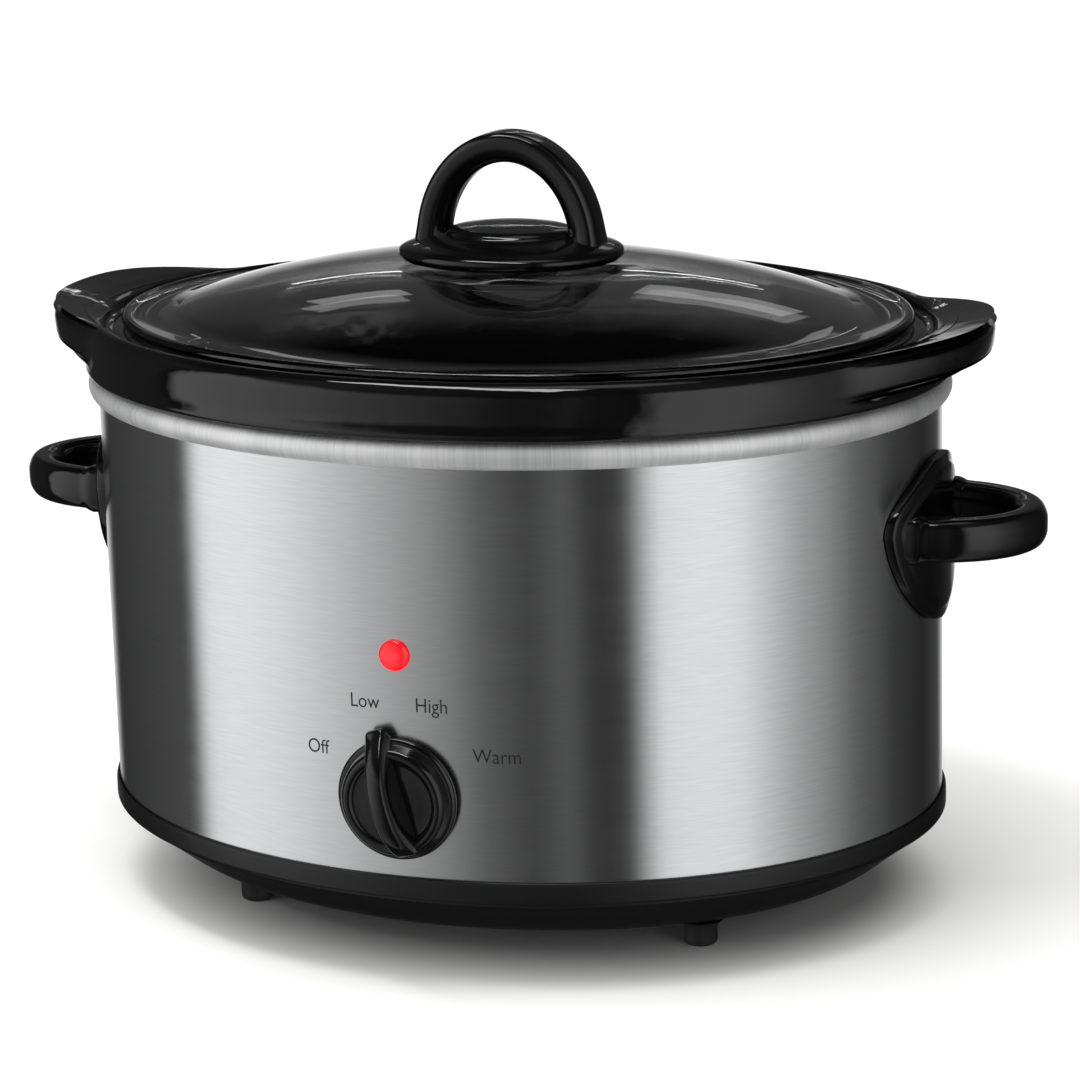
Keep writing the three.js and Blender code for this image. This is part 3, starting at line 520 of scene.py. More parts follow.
# %% Toughened soda-lime glass
glass, tree, shader, place = finish("clear_pressed_glass", "clear_glass", ior=1.52,
                                    base_color=colour("#f6f6f6"), transmission_weight=1.0)
wavy = node(tree, "ShaderNodeTexNoise", {"Vector": place, "Scale": 1 / 22.0, "Detail": 1.0})
bump = node(tree, "ShaderNodeBump", {
    "Strength": 0.5, "Distance": 0.10 * MM, "Height": wavy.outputs[0]})
smear = node(tree, "ShaderNodeTexNoise", {"Vector": place, "Scale": 1 / 35.0, "Detail": 4.0})
give(tree, shader, {
    "Roughness": spread(tree, smear.outputs[0], 0.0, 0.05, 0.45, 0.75), "Normal": bump.outputs[0]})

# %% [markdown]
# ## Black mouldings
# The knobs and handles are phenolic resin, moulded in polished steel tools, so they are almost
# as glossy as the glaze and a little softer in their reflections. The base is polypropylene
# from a finely etched tool, which gives it a satin skin.

# %% Polished phenolic and satin polypropylene
phenolic, tree, shader, place = finish("gloss_black_phenolic", "gloss_phenolic", ior=1.52)
sink = node(tree, "ShaderNodeTexNoise", {"Vector": place, "Scale": 1 / 14.0, "Detail": 2.0})
peel = node(tree, "ShaderNodeTexNoise", {"Vector": place, "Scale": 1 / 0.7, "Detail": 1.0})
bump = node(tree, "ShaderNodeBump", {
    "Strength": 0.5, "Distance": 0.06 * MM, "Height": sink.outputs[0]})
skin_bump = node(tree, "ShaderNodeBump", {
    "Strength": 0.2, "Distance": 0.004 * MM, "Height": peel.outputs[0], "Normal": bump.outputs[0]})
give(tree, shader, {
    "Base Color": tint(tree, sink.outputs[0], "#050506", "#0a0a0b"),
    "Roughness": spread(tree, sink.outputs[0], 0.06, 0.12), "Normal": skin_bump.outputs[0]})

satin, tree, shader, place = finish("satin_black_polypropylene", "satin_plastic", ior=1.49)
etch = node(tree, "ShaderNodeTexNoise", {"Vector": place, "Scale": 1 / 0.6, "Detail": 2.0})
scuff = node(tree, "ShaderNodeTexNoise", {"Vector": place, "Scale": 1 / 45.0, "Detail": 4.0})
bump = node(tree, "ShaderNodeBump", {
    "Strength": 0.25, "Distance": 0.02 * MM, "Height": etch.outputs[0]})
give(tree, shader, {
    "Base Color": tint(tree, scuff.outputs[0], "#060607", "#0e0e0f"),
    "Roughness": spread(tree, scuff.outputs[0], 0.34, 0.46), "Normal": bump.outputs[0]})

# %% Rubber and silicone
rubber = mottled("moulded_black_rubber", "foot_rubber", 5.0, 4.0, ("#0c0c0c", "#1d1d1c"),
                 (0.60, 0.82), relief=(0.4, 0.05), ior=1.52)
silicone = mottled("black_silicone", "silicone", 4.0, 3.0, ("#0e0e0e", "#1a1a1a"), (0.50, 0.68),
                   ior=1.41)

# %% [markdown]
# ## Hidden materials
# Screws and brackets are steel with a zinc coat, which dries in faint clouds. The heater is
# foil on mica, a flaky mineral sheet, wrapped in woven glass fibre. The switch and the terminal
# block are nylon, and the leads are copper in silicone rubber.

# %% Zinc-plated steel
zinc = mottled("zinc_plated_steel", "zinc_steel", 3.0, 4.0, ("#9fa4a8", "#c3c8ca"), (0.28, 0.45),
               metallic=1.0)

# %% Mica, glass fibre, nylon and lead insulation
mica, tree, shader, place = finish("mica_sheet", "mica", ior=1.58)
flakes = node(tree, "ShaderNodeTexVoronoi", {"Vector": place, "Scale": 1 / 4.0})
give(tree, shader, {
    "Base Color": tint(tree, flakes.outputs["Distance"], "#8f7649", "#b89c6a"),
    "Roughness": spread(tree, flakes.outputs["Distance"], 0.35, 0.6, 0, 1)})

fibre, tree, shader, place = finish("woven_glass_fibre", "glass_fibre", roughness=0.85, ior=1.5)
yarns = [node(tree, "ShaderNodeTexWave", {"Vector": place, "Scale": 0.45}, bands_direction=way)
         for way in ("X", "Z")]
weave = node(tree, "ShaderNodeMath", {
    0: yarns[0].outputs[1], 1: yarns[1].outputs[1]}, operation="MULTIPLY")
bump = node(tree, "ShaderNodeBump", {
    "Strength": 0.6, "Distance": 0.2 * MM, "Height": weave.outputs[0]})
give(tree, shader, {
    "Base Color": tint(tree, weave.outputs[0], "#b5b0a1", "#e0dccd"), "Normal": bump.outputs[0]})

nylon = mottled("natural_nylon", "nylon", 6.0, 3.0, ("#d9d4c6", "#e8e5da"), (0.42, 0.58), ior=1.53)
insulation = mottled("silicone_lead_insulation", "lead_insulation", 2.0, 3.0,
                     ("#7a1611", "#96241c"), (0.45, 0.62), ior=1.41)

# %% [markdown]
# ## Red lens
# The indicator's lens is red polycarbonate over a small neon lamp, and the lamp is on. Light
# comes out strongest in the middle, so the glow is a soft spot that fades towards the edge.

# %% Lit red polycarbonate
LAMP_HEIGHT = 109.6
LENS_RADIUS = 5.0

lens_red, tree, shader, place = finish("red_polycarbonate", "red_lens", ior=1.58, roughness=0.12,
                                       base_color=colour("#c90a12"), emission_strength=1.0)
centre = (0, CENTRE_Y - HALF_WIDTH, LAMP_HEIGHT)
off_axis = node(tree, "ShaderNodeVectorMath", {0: place, 1: centre}, operation="DISTANCE")
glow = spread(tree, off_axis.outputs["Value"], 1.0, 0.0, 0.5, LENS_RADIUS * 0.95)
dimple = node(tree, "ShaderNodeTexNoise", {"Vector": place, "Scale": 1 / 2.5, "Detail": 1.0})
bump = node(tree, "ShaderNodeBump", {
    "Strength": 0.3, "Distance": 0.1 * MM, "Height": dimple.outputs[0]})
give(tree, shader, {
    "Emission Color": tint(tree, glow, "#c80410", "#ff4650"), "Normal": bump.outputs[0]})

ink = mottled("printed_black_ink", "satin_plastic", 0.8, 2.0, ("#131314", "#232325"), (0.42, 0.60),
              ior=1.5)
print("materials:", len(bpy.data.materials))

# %% [markdown]
# ## The steel band
# The band is one thin sheet round the oval, with holes for the switch, the lamp, the lead and
# the four handle screws. It is skinned between two ovals and the holes are cut with booleans. A
# cut leaves odd faces round each hole, so the normals are then set from the oval's own formula,
# which keeps the reflections perfectly smooth.

# %% Oval rings
LUG_REACH = 13.6
LUG_HALF_WIDTH = 56
LUG_LIFT = 3.5  # how far the lugs sweep up
WALL_TURN = 0.9  # a face that looks this squarely out or in is wall, not the edge of a hole


def oval_ring(length, width, z, lug=0.0, sides=SIDES):
    """One ellipse. `lug` (0 to 1) pulls its two ends out into the pot's lugs."""
    ring = []
    for i in range(sides):
        angle = 2 * math.pi * i / sides
        y = width * math.sin(angle)
        away = min(1.0, abs(y) / LUG_HALF_WIDTH)
        bulge = lug * (1 - away ** 4) ** 1.5
        x = length * math.cos(angle)
        ring.append((x + math.copysign(bulge * LUG_REACH, x), y, z + bulge * LUG_LIFT))
    return ring


def beyond(outset, z):
    """A point of an outline, `outset` outside the band: its half length, half width and height."""
    return (HALF_LENGTH + outset, HALF_WIDTH + outset, z)


def oval_loft(outline, looped=False, sides=SIDES):
    """Carries an outline of (half length, half width, height, lug) round the oval."""
    return skin([oval_ring(*point, sides=sides) for point in outline], looped)


def rod(radius, start, end, sides=32):
    """A plain rod between two points, for cutting holes."""
    axis = (Vector(end) - Vector(start)).normalized()
    side = axis.orthogonal().normalized()
    other = axis.cross(side)
    rings = []
    for centre in (Vector(start), Vector(end)):
        ring = []
        for i in range(sides):
            angle = 2 * math.pi * i / sides
            ring.append(centre + (side * math.cos(angle) + other * math.sin(angle)) * radius)
        rings.append(ring)
    return skin(rings)


def cut(target, shell):
    """Cuts a shell out of an object with a boolean, and applies it."""
    mesh = mesh_from("cutter", shell, weld=False)
    cutter = bpy.data.objects.new("cutter", mesh)
    scene.collection.objects.link(cutter)
    step = target.modifiers.new("cut", "BOOLEAN")
    step.operation = "DIFFERENCE"
    step.solver = "EXACT"
    step.object = cutter
    bpy.context.view_layer.update()
    before = target.data
    target.data = bpy.data.meshes.new_from_object(
        target.evaluated_get(bpy.context.evaluated_depsgraph_get()))
    target.data.name = before.name
    target.modifiers.remove(step)
    bpy.data.objects.remove(cutter)
    bpy.data.meshes.remove(mesh)
    bpy.data.meshes.remove(before)


def oval_outward(point):
    """The direction straight out of the oval at a point in the frame."""
    y = point.y - CENTRE_Y * MM
    return Vector((point.x / HALF_LENGTH ** 2, y / HALF_WIDTH ** 2, 0)).normalized()


def oval_normals(made):
    """Sets a wall's normals from the oval, so that cut faces shade as one smooth sheet."""
    mesh = made.data
    normals = []
    for face in mesh.polygons:
        turn = face.normal.dot(oval_outward(face.center))
        for corner in face.vertices:
            true = oval_outward(mesh.vertices[corner].co) * math.copysign(1, turn)
            normals.append(true if abs(turn) > WALL_TURN else face.normal)
    mesh.normals_split_custom_set(normals)


# %% Band with its holes
BAND_WALL = 0.6
DIAL_HEIGHT = 63
GLAND_HEIGHT = 48
HANDLE_HEIGHT = 133.3
HANDLE_ARM = 26
BUSH_HOLE = 4.9
LAMP_HOLE = 4.3
GLAND_HOLE = 6.3
SCREW_HOLE = 2.05

wall = [beyond(0, BAND_BOTTOM), beyond(0, BAND_TOP),
        beyond(-BAND_WALL, BAND_TOP), beyond(-BAND_WALL, BAND_BOTTOM)]
band = piece("steel_band", oval_loft(wall, looped=True), stainless, "base", ["outer_band"])
near, far = HALF_WIDTH - 12, HALF_WIDTH + 12
cut(band, rod(BUSH_HOLE, (0, -near, DIAL_HEIGHT), (0, -far, DIAL_HEIGHT)))
cut(band, rod(LAMP_HOLE, (0, -near, LAMP_HEIGHT), (0, -far, LAMP_HEIGHT)))
cut(band, rod(GLAND_HOLE, (0, near, GLAND_HEIGHT), (0, far, GLAND_HEIGHT)))
for end in (-1, 1):
    for y in (-HANDLE_ARM, HANDLE_ARM):
        cut(band, rod(SCREW_HOLE, (end * (HALF_LENGTH - 24), y, HANDLE_HEIGHT),
                      (end * (HALF_LENGTH + 10), y, HANDLE_HEIGHT), sides=16))
oval_normals(band)
print("band after its holes:", len(band.data.polygons), "faces")

# %% [markdown]
# ## The liner and its bead
# The liner is drawn from one sheet, and only its rolled bead shows, between the band and the
# pot. The bead is a half round with a small flat, as rolling leaves it.

# %% Heating liner
LINER_WALL = 0.8
LINER_FLOOR = 42.0
LINER_FOOT = -23.5
LINER_NECK = -9.4
BEAD_BOTTOM = BAND_TOP + GAP - 2.6
BEAD_HEIGHT = 9.4
BEAD_PROUD = 3.3

bead_middle = BEAD_PROUD - BEAD_HEIGHT / 2
bead = []
for degrees in range(-56, 151, 9):
    angle = math.radians(degrees)
    bead.append(beyond(bead_middle + BEAD_HEIGHT / 2 * math.cos(angle),
                       BEAD_BOTTOM + BEAD_HEIGHT / 2 * (1 + math.sin(angle))))
outside = soften([
    beyond(LINER_FOOT - 9, LINER_FLOOR),
    beyond(LINER_FOOT - 2.5, LINER_FLOOR),
    beyond(LINER_FOOT, LINER_FLOOR + 4),
    beyond(LINER_NECK, BEAD_BOTTOM + 1),
    beyond(LINER_NECK + 3, BAND_TOP + GAP),
    beyond(GAP, BAND_TOP + GAP),
    beyond(GAP, BEAD_BOTTOM + 0.4),
], 4)
inside = soften([
    beyond(LINER_NECK - LINER_WALL, BEAD_BOTTOM + 2),
    beyond(LINER_FOOT - LINER_WALL, LINER_FLOOR + 4.2),
    beyond(LINER_FOOT - 3.1, LINER_FLOOR + LINER_WALL),
    beyond(LINER_FOOT - 9, LINER_FLOOR + LINER_WALL),
], 4)
piece("rolled_edge_liner", oval_loft([*outside, *bead, *inside]), aluminium, "base",
      ["heating_liner"])

# %% [markdown]
# ## The stoneware pot
# The pot was slip cast, so its walls are thick and every edge is round under the glaze. A rim
# stands out over the bead, and at each end it grows a lug to lift the pot by. The lug is the
# same outline pulled outwards over a third of the oval, which leaves the soft pocket beside it.

# %% Pot outline
BEAD_TOP = BEAD_BOTTOM + BEAD_HEIGHT
RIM_BOTTOM = BEAD_TOP + GAP
RIM_TOP = RIM_BOTTOM + 17
LEDGE = RIM_TOP - 2.9
POT_BOTTOM = LINER_FLOOR + 3.0
POT_FOOT = LINER_FOOT - 3.3
POT_NECK = LINER_NECK - 3.3
POT_WALL = 6.0
POT_FLOOR = 7.0


def rim(length, width, z, lug=0.0):
    """A point of the rim, whose ends and sides stand out by different amounts."""
    return (HALF_LENGTH + length, HALF_WIDTH + width, z, lug)


outside = [rim(outset, outset, z) for outset, z in (
    (POT_FOOT - 12, POT_BOTTOM), (POT_FOOT - 5, POT_BOTTOM), (POT_FOOT, POT_BOTTOM + 6),
    (POT_NECK, RIM_BOTTOM - 4), (LINER_NECK, RIM_BOTTOM))]
skirt = [
    rim(3.4, 3.4, RIM_BOTTOM),
    rim(4.1, 4.1, RIM_BOTTOM + 1.4),
    rim(3.7, 3.2, RIM_BOTTOM + 3.0),
    rim(3.6, 2.2, RIM_BOTTOM + 4.6, 0.62),
    rim(4.0, 1.4, RIM_BOTTOM + 6.2, 1.0),
    rim(4.6, -1.2, RIM_TOP - 3.8, 1.0),
    rim(3.2, -3.2, RIM_TOP - 1.1, 0.90),
]
recess = [
    rim(0.8, -5.6, RIM_TOP, 0.30),
    rim(-1.4, -7.6, RIM_TOP - 0.5),
    rim(-2.6, -8.8, RIM_TOP - 4.6),
    rim(-6.4, -9.6, LEDGE - 0.2),
    rim(-12.8, -13.4, LEDGE - 0.2),
]
inside = [rim(outset, outset, z) for outset, z in (
    (POT_NECK - POT_WALL, RIM_TOP - 12), (POT_FOOT - POT_WALL, POT_BOTTOM + POT_FLOOR + 8),
    (POT_FOOT - POT_WALL - 9, POT_BOTTOM + POT_FLOOR), (-60, POT_BOTTOM + POT_FLOOR - 0.4))]
pot_outline = soften([*outside, *skirt, *recess, *inside], 3.0, steps=5)
piece("glazed_pot", oval_loft(pot_outline), glaze, "crock", ["stoneware_pot"], crease=60)

# %% [markdown]
# ## The glass lid
# The lid is a shallow dome inside a narrow flat flange with a thick rounded rim, and has a hole
# in the middle for the knob's screw. Its outline goes out along the top, round the rim and back
# along the underside.

# %% Lid glass
LID_LENGTH = 135.2
LID_WIDTH = 105.2
LID_RIM = 2.2
LID_RIM_HEIGHT = LEDGE + GAP + LID_RIM
LID_RISE = 19.0
LID_HOLE = 4.0
DOME_SHARE = 0.93  # how much of the lid is dome: the rest is the flange round it
DOME_POWER = 2.4  # 2 is a parabola, and more is flatter in the middle and steeper at the flange
GLASS = 4.0
CROWN = LID_RIM_HEIGHT + LID_RISE


def dome(share, drop):
    """A point of the dome: `share` is 0 at the crown and 1 at the flange."""
    return (LID_HOLE + (LID_LENGTH * DOME_SHARE - LID_HOLE) * share,
            LID_HOLE + (LID_WIDTH * DOME_SHARE - LID_HOLE) * share,
            LID_RIM_HEIGHT + LID_RISE * (1 - share ** DOME_POWER) - drop)


top = [dome(step / 20, 0) for step in range(20)]
under = [dome(step / 20 * 0.95, GLASS) for step in range(20, -1, -1)]
edge = []
for degrees in range(140, -91, -10):
    angle = math.radians(degrees)
    inward = LID_RIM * (1 - math.cos(angle))
    edge.append((LID_LENGTH - inward, LID_WIDTH - inward,
                 LID_RIM_HEIGHT + LID_RIM * math.sin(angle)))
heel = [(LID_LENGTH - 5, LID_WIDTH - 5, LID_RIM_HEIGHT - LID_RIM + 0.1)]
piece("domed_lid", oval_loft([*top, *edge, *heel, *under], looped=True), glass, "lid",
      ["lid_glass"], crease=50)

# %% [markdown]
# ## The lid knob
# The knob is one moulding: an oval foot that covers the hole, a low dome, and an arch to lift
# by. The arch is wide and flat outside and bevelled inside, where fingers go. It is a section
# swept along half an ellipse, and it swells into a small collar where each leg meets the foot.

# %% Swept sections
def sweep(path, section, side, swell):
    """Carries a section along points in one plane. `swell` gives its size at each point."""
    rings = []
    for i, point in enumerate(path):
        forward = (path[min(i + 1, len(path) - 1)] - path[max(i - 1, 0)]).normalized()
        outward = forward.cross(side)
        size = swell[i]
        rings.append([point + outward * out * size + side * over * size for out, over in section])
    return skin(rings)


def plain_rings(outline, half_length, half_width, sides=96):
    """Carries an outline of (share, height) round a small oval."""
    return skin([oval_ring(half_length * share, half_width * share, z, sides=sides)
                 for share, z in outline])


def collar(distance, growth, reach, power):
    """How much a section has swollen at a distance from where it leaves its plate."""
    return 1.0 + growth * math.exp(-(distance / reach) ** power)


# %% Lid knob
KNOB_SEAT = CROWN + 1.9
KNOB_DOME = CROWN + 11.6
ARCH_BASE = CROWN + 4.2
ARCH_SPAN = 26.6
KNOB_HALF_LENGTH = 39
KNOB_HALF_WIDTH = 31
ARCH_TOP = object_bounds()[1][2] / MM
ARCH_THICK = 10.5

foot_outline = soften([
    (0.66, KNOB_SEAT), (0.82, KNOB_SEAT - 2.0), (0.94, KNOB_SEAT - 2.2), (1.0, KNOB_SEAT - 0.1),
    (0.97, KNOB_SEAT + 2.0), (0.78, KNOB_SEAT + 4.2), (0.585, KNOB_SEAT + 5.9),
    (0.55, KNOB_SEAT + 7.4), (0.50, KNOB_SEAT + 8.3), (0.28, KNOB_DOME - 0.35), (0.05, KNOB_DOME),
], 0.9, steps=4)
arch_rise = ARCH_TOP - ARCH_THICK / 2 - ARCH_BASE
ARCH_STEPS = 60
arch_path = []
arch_swell = []
for step in range(ARCH_STEPS + 1):
    angle = math.pi * step / ARCH_STEPS
    arch_path.append(Vector((-ARCH_SPAN * math.cos(angle), 0, ARCH_BASE + arch_rise * math.sin(angle))))
    root = min(step, ARCH_STEPS - step) / ARCH_STEPS
    arch_swell.append(collar(root, 0.10, 0.035, 2))
arch_section = soften([
    (5.25, 5.4), (3.4, 7.0), (-0.8, 6.9), (-4.9, 4.0),
    (-4.9, -4.0), (-0.8, -6.9), (3.4, -7.0), (5.25, -5.4)], 1.7, closed=True, steps=4)
piece("arched_lid_knob", joined(
    plain_rings(foot_outline, KNOB_HALF_LENGTH, KNOB_HALF_WIDTH),
    sweep(arch_path, arch_section, Vector((0, 1, 0)), arch_swell),
), phenolic, "lid", ["lid_knob"], crease=50)
print("arch reaches", round(ARCH_TOP, 1), "mm")

# %% [markdown]
# ## Turned pieces
# Gasket, screws, feet, lens, gland and dial are all round, so one lathe function makes them.
# An outline of radius and height is carried round an axis, and a matrix lays it where it goes.

# %% A lathe
def lathe(outline, sides=48, looped=False):
    """Carries (radius, height) round +Z."""
    turns = [2 * math.pi * i / sides for i in range(sides)]
    rings = []
    for radius, z in outline:
        radius = max(radius, 0.01)
        rings.append([Vector((radius * math.cos(turn), radius * math.sin(turn), z)) for turn in turns])
    return skin(rings, looped)


def moved(shell, matrix):
    """The same shell, somewhere else."""
    points, faces = shell
    return [tuple(matrix @ Vector(point)) for point in points], faces


TO_FRONT = Matrix.Rotation(math.radians(90), 4, "X")  # +Z becomes -Y, out of the front
TO_REAR = Matrix.Rotation(math.radians(-90), 4, "X")

# %% Gasket and washer
UNDER = CROWN - GLASS


def flat_ring(outer, bottom, top, corner):
    """A flat ring about the lid's screw, with rounded edges."""
    outline = soften([(2.3, bottom), (outer, bottom), (outer, top), (2.3, top)], corner, closed=True)
    return lathe(outline, 64, looped=True)


piece("silicone_lid_gasket", flat_ring(15, CROWN + GAP, CROWN + 1.6, 0.5), silicone, "lid",
      ["lid_gasket"])
piece("plated_lid_washer", flat_ring(9, UNDER - 1.5, UNDER - GAP, 0.25), zinc, "lid", ["lid_washer"])


# %% Cross-head screws
def cross_screw(name, place, shank, length, head, head_height, body, stands_for):
    """A pan-head screw whose head hangs below its seat, with a cross recess."""
    outline = soften([
        (0, -head_height), (head * 0.62, -head_height), (head, -head_height * 0.35), (head, 0),
        (shank, 0), (shank, length - shank), (0.3, length)], 0.5)
    screw = piece(name, moved(lathe(outline, 32), Matrix.Translation(place)), zinc, body, stands_for)
    x, y, z = place
    arm, half = head * 0.55, head * 0.11
    for long, wide in ((arm, half), (half, arm)):
        corners = [(x - long, y - wide), (x + long, y - wide),
                   (x + long, y + wide), (x - long, y + wide)]
        levels = (z - head_height - 1, z - head_height * 0.45)
        cut(screw, skin([[(u, v, level) for u, v in corners] for level in levels]))
    screw.data.set_sharp_from_angle(angle=math.radians(38))


PAN_FLOOR = 9.0
TIE_Y = 56.5
cross_screw("lid_cross_screw", (0, 0, UNDER - 1.8), 2.0, KNOB_DOME - 4 - UNDER + 1.8, 4.4, 2.6,
            "lid", ["lid_screw"])
for name, y in (("front", -TIE_Y), ("rear", TIE_Y)):
    cross_screw("base_cross_screw_" + name, (0, y, PAN_FLOOR - GAP), 1.75, 10, 3.6, 2.2,
                "base", ["tie_screw_" + name])

# %% [markdown]
# ## The base
# Two black mouldings close the bottom: a ring whose lip holds the band's lower edge, and a pan
# that curves in under it. A fine seam shows between them. Four rubber feet snap into the pan.

# %% Base ring and pan
RING_TOP = BAND_BOTTOM + 3.6
RING_BOTTOM = RING_TOP - 7.2
ring_outline = soften([
    beyond(-5, RING_BOTTOM), beyond(0.6, RING_BOTTOM), beyond(1.3, RING_BOTTOM + 0.7),
    beyond(1.3, RING_TOP - 1.0), beyond(0.9, RING_TOP), beyond(GAP, RING_TOP),
    beyond(GAP, BAND_BOTTOM - GAP), beyond(-5, BAND_BOTTOM - GAP)], 0.6, closed=True)
piece("base_trim_ring", oval_loft(ring_outline, looped=True), satin, "base", ["base_ring"])

pan_outline = soften([
    beyond(-60, PAN_FLOOR), beyond(-31, PAN_FLOOR), beyond(-19.5, PAN_FLOOR + 4.6),
    beyond(-9.5, PAN_FLOOR + 13), beyond(-2.2, RING_BOTTOM - GAP - 1.6), beyond(-1.8, RING_BOTTOM - GAP),
    beyond(-4.0, RING_BOTTOM - GAP), beyond(-11.9, PAN_FLOOR + 14.6), beyond(-22.9, PAN_FLOOR + 6.6),
    beyond(-33.4, PAN_FLOOR + 2.4), beyond(-60, PAN_FLOOR + 2.4)], 8, steps=6)
piece("curved_base_pan", oval_loft(pan_outline), satin, "base", ["base_pan"], crease=50)

# %% Feet
FOOT_X = 79
FOOT_Y = 53

foot_profile = soften([
    (0, 0), (4.7, 0), (5.5, 0.8), (5.5, 5.0), (6.2, 7.4), (8.1, 8.7), (2.5, 8.7), (2.5, 11.7),
    (3.7, 11.7), (1.7, 14.3), (0, 14.3)], 0.8)
for name, right, rear in (("front_right", 1, -1), ("rear_right", 1, 1),
                          ("rear_left", -1, 1), ("front_left", -1, -1)):
    foot_place = Matrix.Translation((right * FOOT_X, rear * FOOT_Y, 0))
    piece("rubber_foot_" + name, moved(lathe(foot_profile), foot_place), rubber,
          "base", ["foot_" + name])

# %% [markdown]
# ## The side handles
# Each handle is a shield-shaped plate that hugs the oval, with a loop standing out of it. The
# plate's rings are laid on the oval one inside the other: the wall, its rounded edge, a narrow
# ledge that catches the light, and the face. The loop is a rounded section swept round half an
# ellipse, with a collar where each arm leaves the plate.

# %% Shield plate
PLATE_HALF = 36.5
PLATE_RISE = 22.0
PLATE_DROP = 33.5
HANDLE_REACH = 37.0
HANDLE_THICK = 10.5


def arc(start, bend, end, steps=12):
    """Points of a smooth bend between two points, without the last."""
    a, b, c = Vector(start), Vector(bend), Vector(end)
    shares = [step / steps for step in range(steps)]
    return [a * (1 - t) ** 2 + b * (2 * t * (1 - t)) + c * t * t for t in shares]


half_shield = [
    *arc((6, PLATE_RISE), (10, PLATE_RISE), (20, PLATE_RISE - 4.6), 6),
    *arc((20, PLATE_RISE - 4.6), (PLATE_HALF, PLATE_RISE - 11), (PLATE_HALF, 2)),
    *arc((PLATE_HALF, 2), (PLATE_HALF - 4, -PLATE_DROP * 0.55), (10, 3 - PLATE_DROP)),
    Vector((10, 3 - PLATE_DROP)),
]
other_half = [Vector((-point.x, point.y)) for point in reversed(half_shield)]
shield = [
    *half_shield, *arc((10, 3 - PLATE_DROP), (0, -PLATE_DROP - 1), (-10, 3 - PLATE_DROP), 8)[1:],
    *other_half, *arc((-6, PLATE_RISE), (0, PLATE_RISE), (6, PLATE_RISE), 6)[1:],
]


def inset(outline, distance):
    """The outline moved inwards by a distance."""
    moved_in = []
    for i, point in enumerate(outline):
        along = outline[(i + 1) % len(outline)] - outline[i - 1]
        moved_in.append(point + Vector((along.y, -along.x)).normalized() * distance)
    return moved_in


PLATE_FACE = 4.3
PLATE_STEPS = [  # inset from the edge and height above the band
    (0.0, GAP), (0.0, 2.4), (0.25, 3.0), (0.9, 3.3), (3.1, 3.4), (3.5, 3.5), (4.1, 4.1),
    (4.7, PLATE_FACE), (6.5, PLATE_FACE),
]


def plate_rings():
    """Rings of the plate, from its back, round its edge, to the middle of its face."""
    rings = [(shield, share, GAP) for share in (0.02, 0.3, 0.6, 0.85)]
    rings += [(inset(shield, distance), 1.0, raised) for distance, raised in PLATE_STEPS]
    inner = inset(shield, PLATE_STEPS[-1][0])
    rings += [(inner, share, PLATE_FACE) for share in (0.85, 0.7, 0.55, 0.4, 0.25, 0.1, 0.02)]
    placed = []
    for outline, share, outset in rings:
        ring = [point * share for point in outline]
        placed.append([(oval_x(y, outset), y, HANDLE_HEIGHT + z) for y, z in ring])
    return placed


# %% Loop and handles
loop_path = [Vector((HALF_LENGTH - 6 + step, -HANDLE_ARM, HANDLE_HEIGHT)) for step in range(6)]
LOOP_STEPS = 72
for step in range(LOOP_STEPS + 1):
    angle = math.pi * (step / LOOP_STEPS - 0.5)
    loop_path.append(Vector((HALF_LENGTH + (HANDLE_REACH - HANDLE_THICK / 2) * math.cos(angle),
                             HANDLE_ARM * math.sin(angle), HANDLE_HEIGHT)))
loop_path += [Vector((HALF_LENGTH - 1 - step, HANDLE_ARM, HANDLE_HEIGHT)) for step in range(6)]
plate_face = oval_x(HANDLE_ARM, PLATE_FACE)
loop_swell = [collar(max(0.0, point.x - plate_face), 0.16, 2.4, 4) for point in loop_path]
loop_section = soften([
    (5.25, 3.4), (3.2, 7.0), (-2.6, 7.0), (-5.25, 3.6),
    (-5.25, -3.6), (-2.6, -7.0), (3.2, -7.0), (5.25, -3.4)], 3.2, closed=True, steps=5)
loop = sweep(loop_path, loop_section, Vector((0, 0, 1)), loop_swell)
handle_shell = joined(skin(plate_rings()), loop)
piece("looped_handle_right", handle_shell, phenolic, "base", ["side_handle_right"], crease=42)
piece("looped_handle_left", moved(handle_shell, Matrix.Rotation(math.pi, 4, "Z")), phenolic, "base",
      ["side_handle_left"], crease=42)

# %% [markdown]
# ## The control knob
# The knob is a thin flange, a bevelled ring and a dished face, with an upright blade across it
# to turn it by. The blade's nib runs out over the flange to point at a setting. The blade is a
# side outline given a width, and it is lower at each step out from its flat ridge.

# %% Control knob
DIAL_DEPTH = 16.5
DIAL_BACK = HALF_WIDTH + 1
DIAL_REST = math.radians(16)  # from upright, near the second setting

dial_profile = soften([
    (0, 5), (10, 5), (10, 4), (17.4, 1.6), (17.4, 0), (20, 0), (20, 1.5), (18.9, 2.3), (18.3, 2.3),
    (17.2, 5.4), (16.0, 6.5), (14.4, 6.5), (13.4, 5.6), (9, 5.9), (0, 6.3)], 0.6, steps=3)
blade_side = soften([
    (-18.4, 1.4), (-17.6, 7.5), (-13.0, 12.6), (-7.0, 15.6), (0.0, DIAL_DEPTH - 0.1), (7.0, 15.4),
    (13.5, 12.0), (18.6, 7.6), (21.6, 4.6), (23.6, 3.0), (23.6, 1.4)], 5.0, steps=4)
BLADE_BASE = 1.4
BLADE_ROUNDING = 0.14  # how much shorter the blade's sides are than its ridge
BLADE_STEPS = [  # how far across from the ridge's middle, and share of its height there
    (4.5, 0.36), (4.35, 0.46), (3.6, 0.70), (3.0, 0.90), (2.6, 0.97), (2.0, 1.0)]


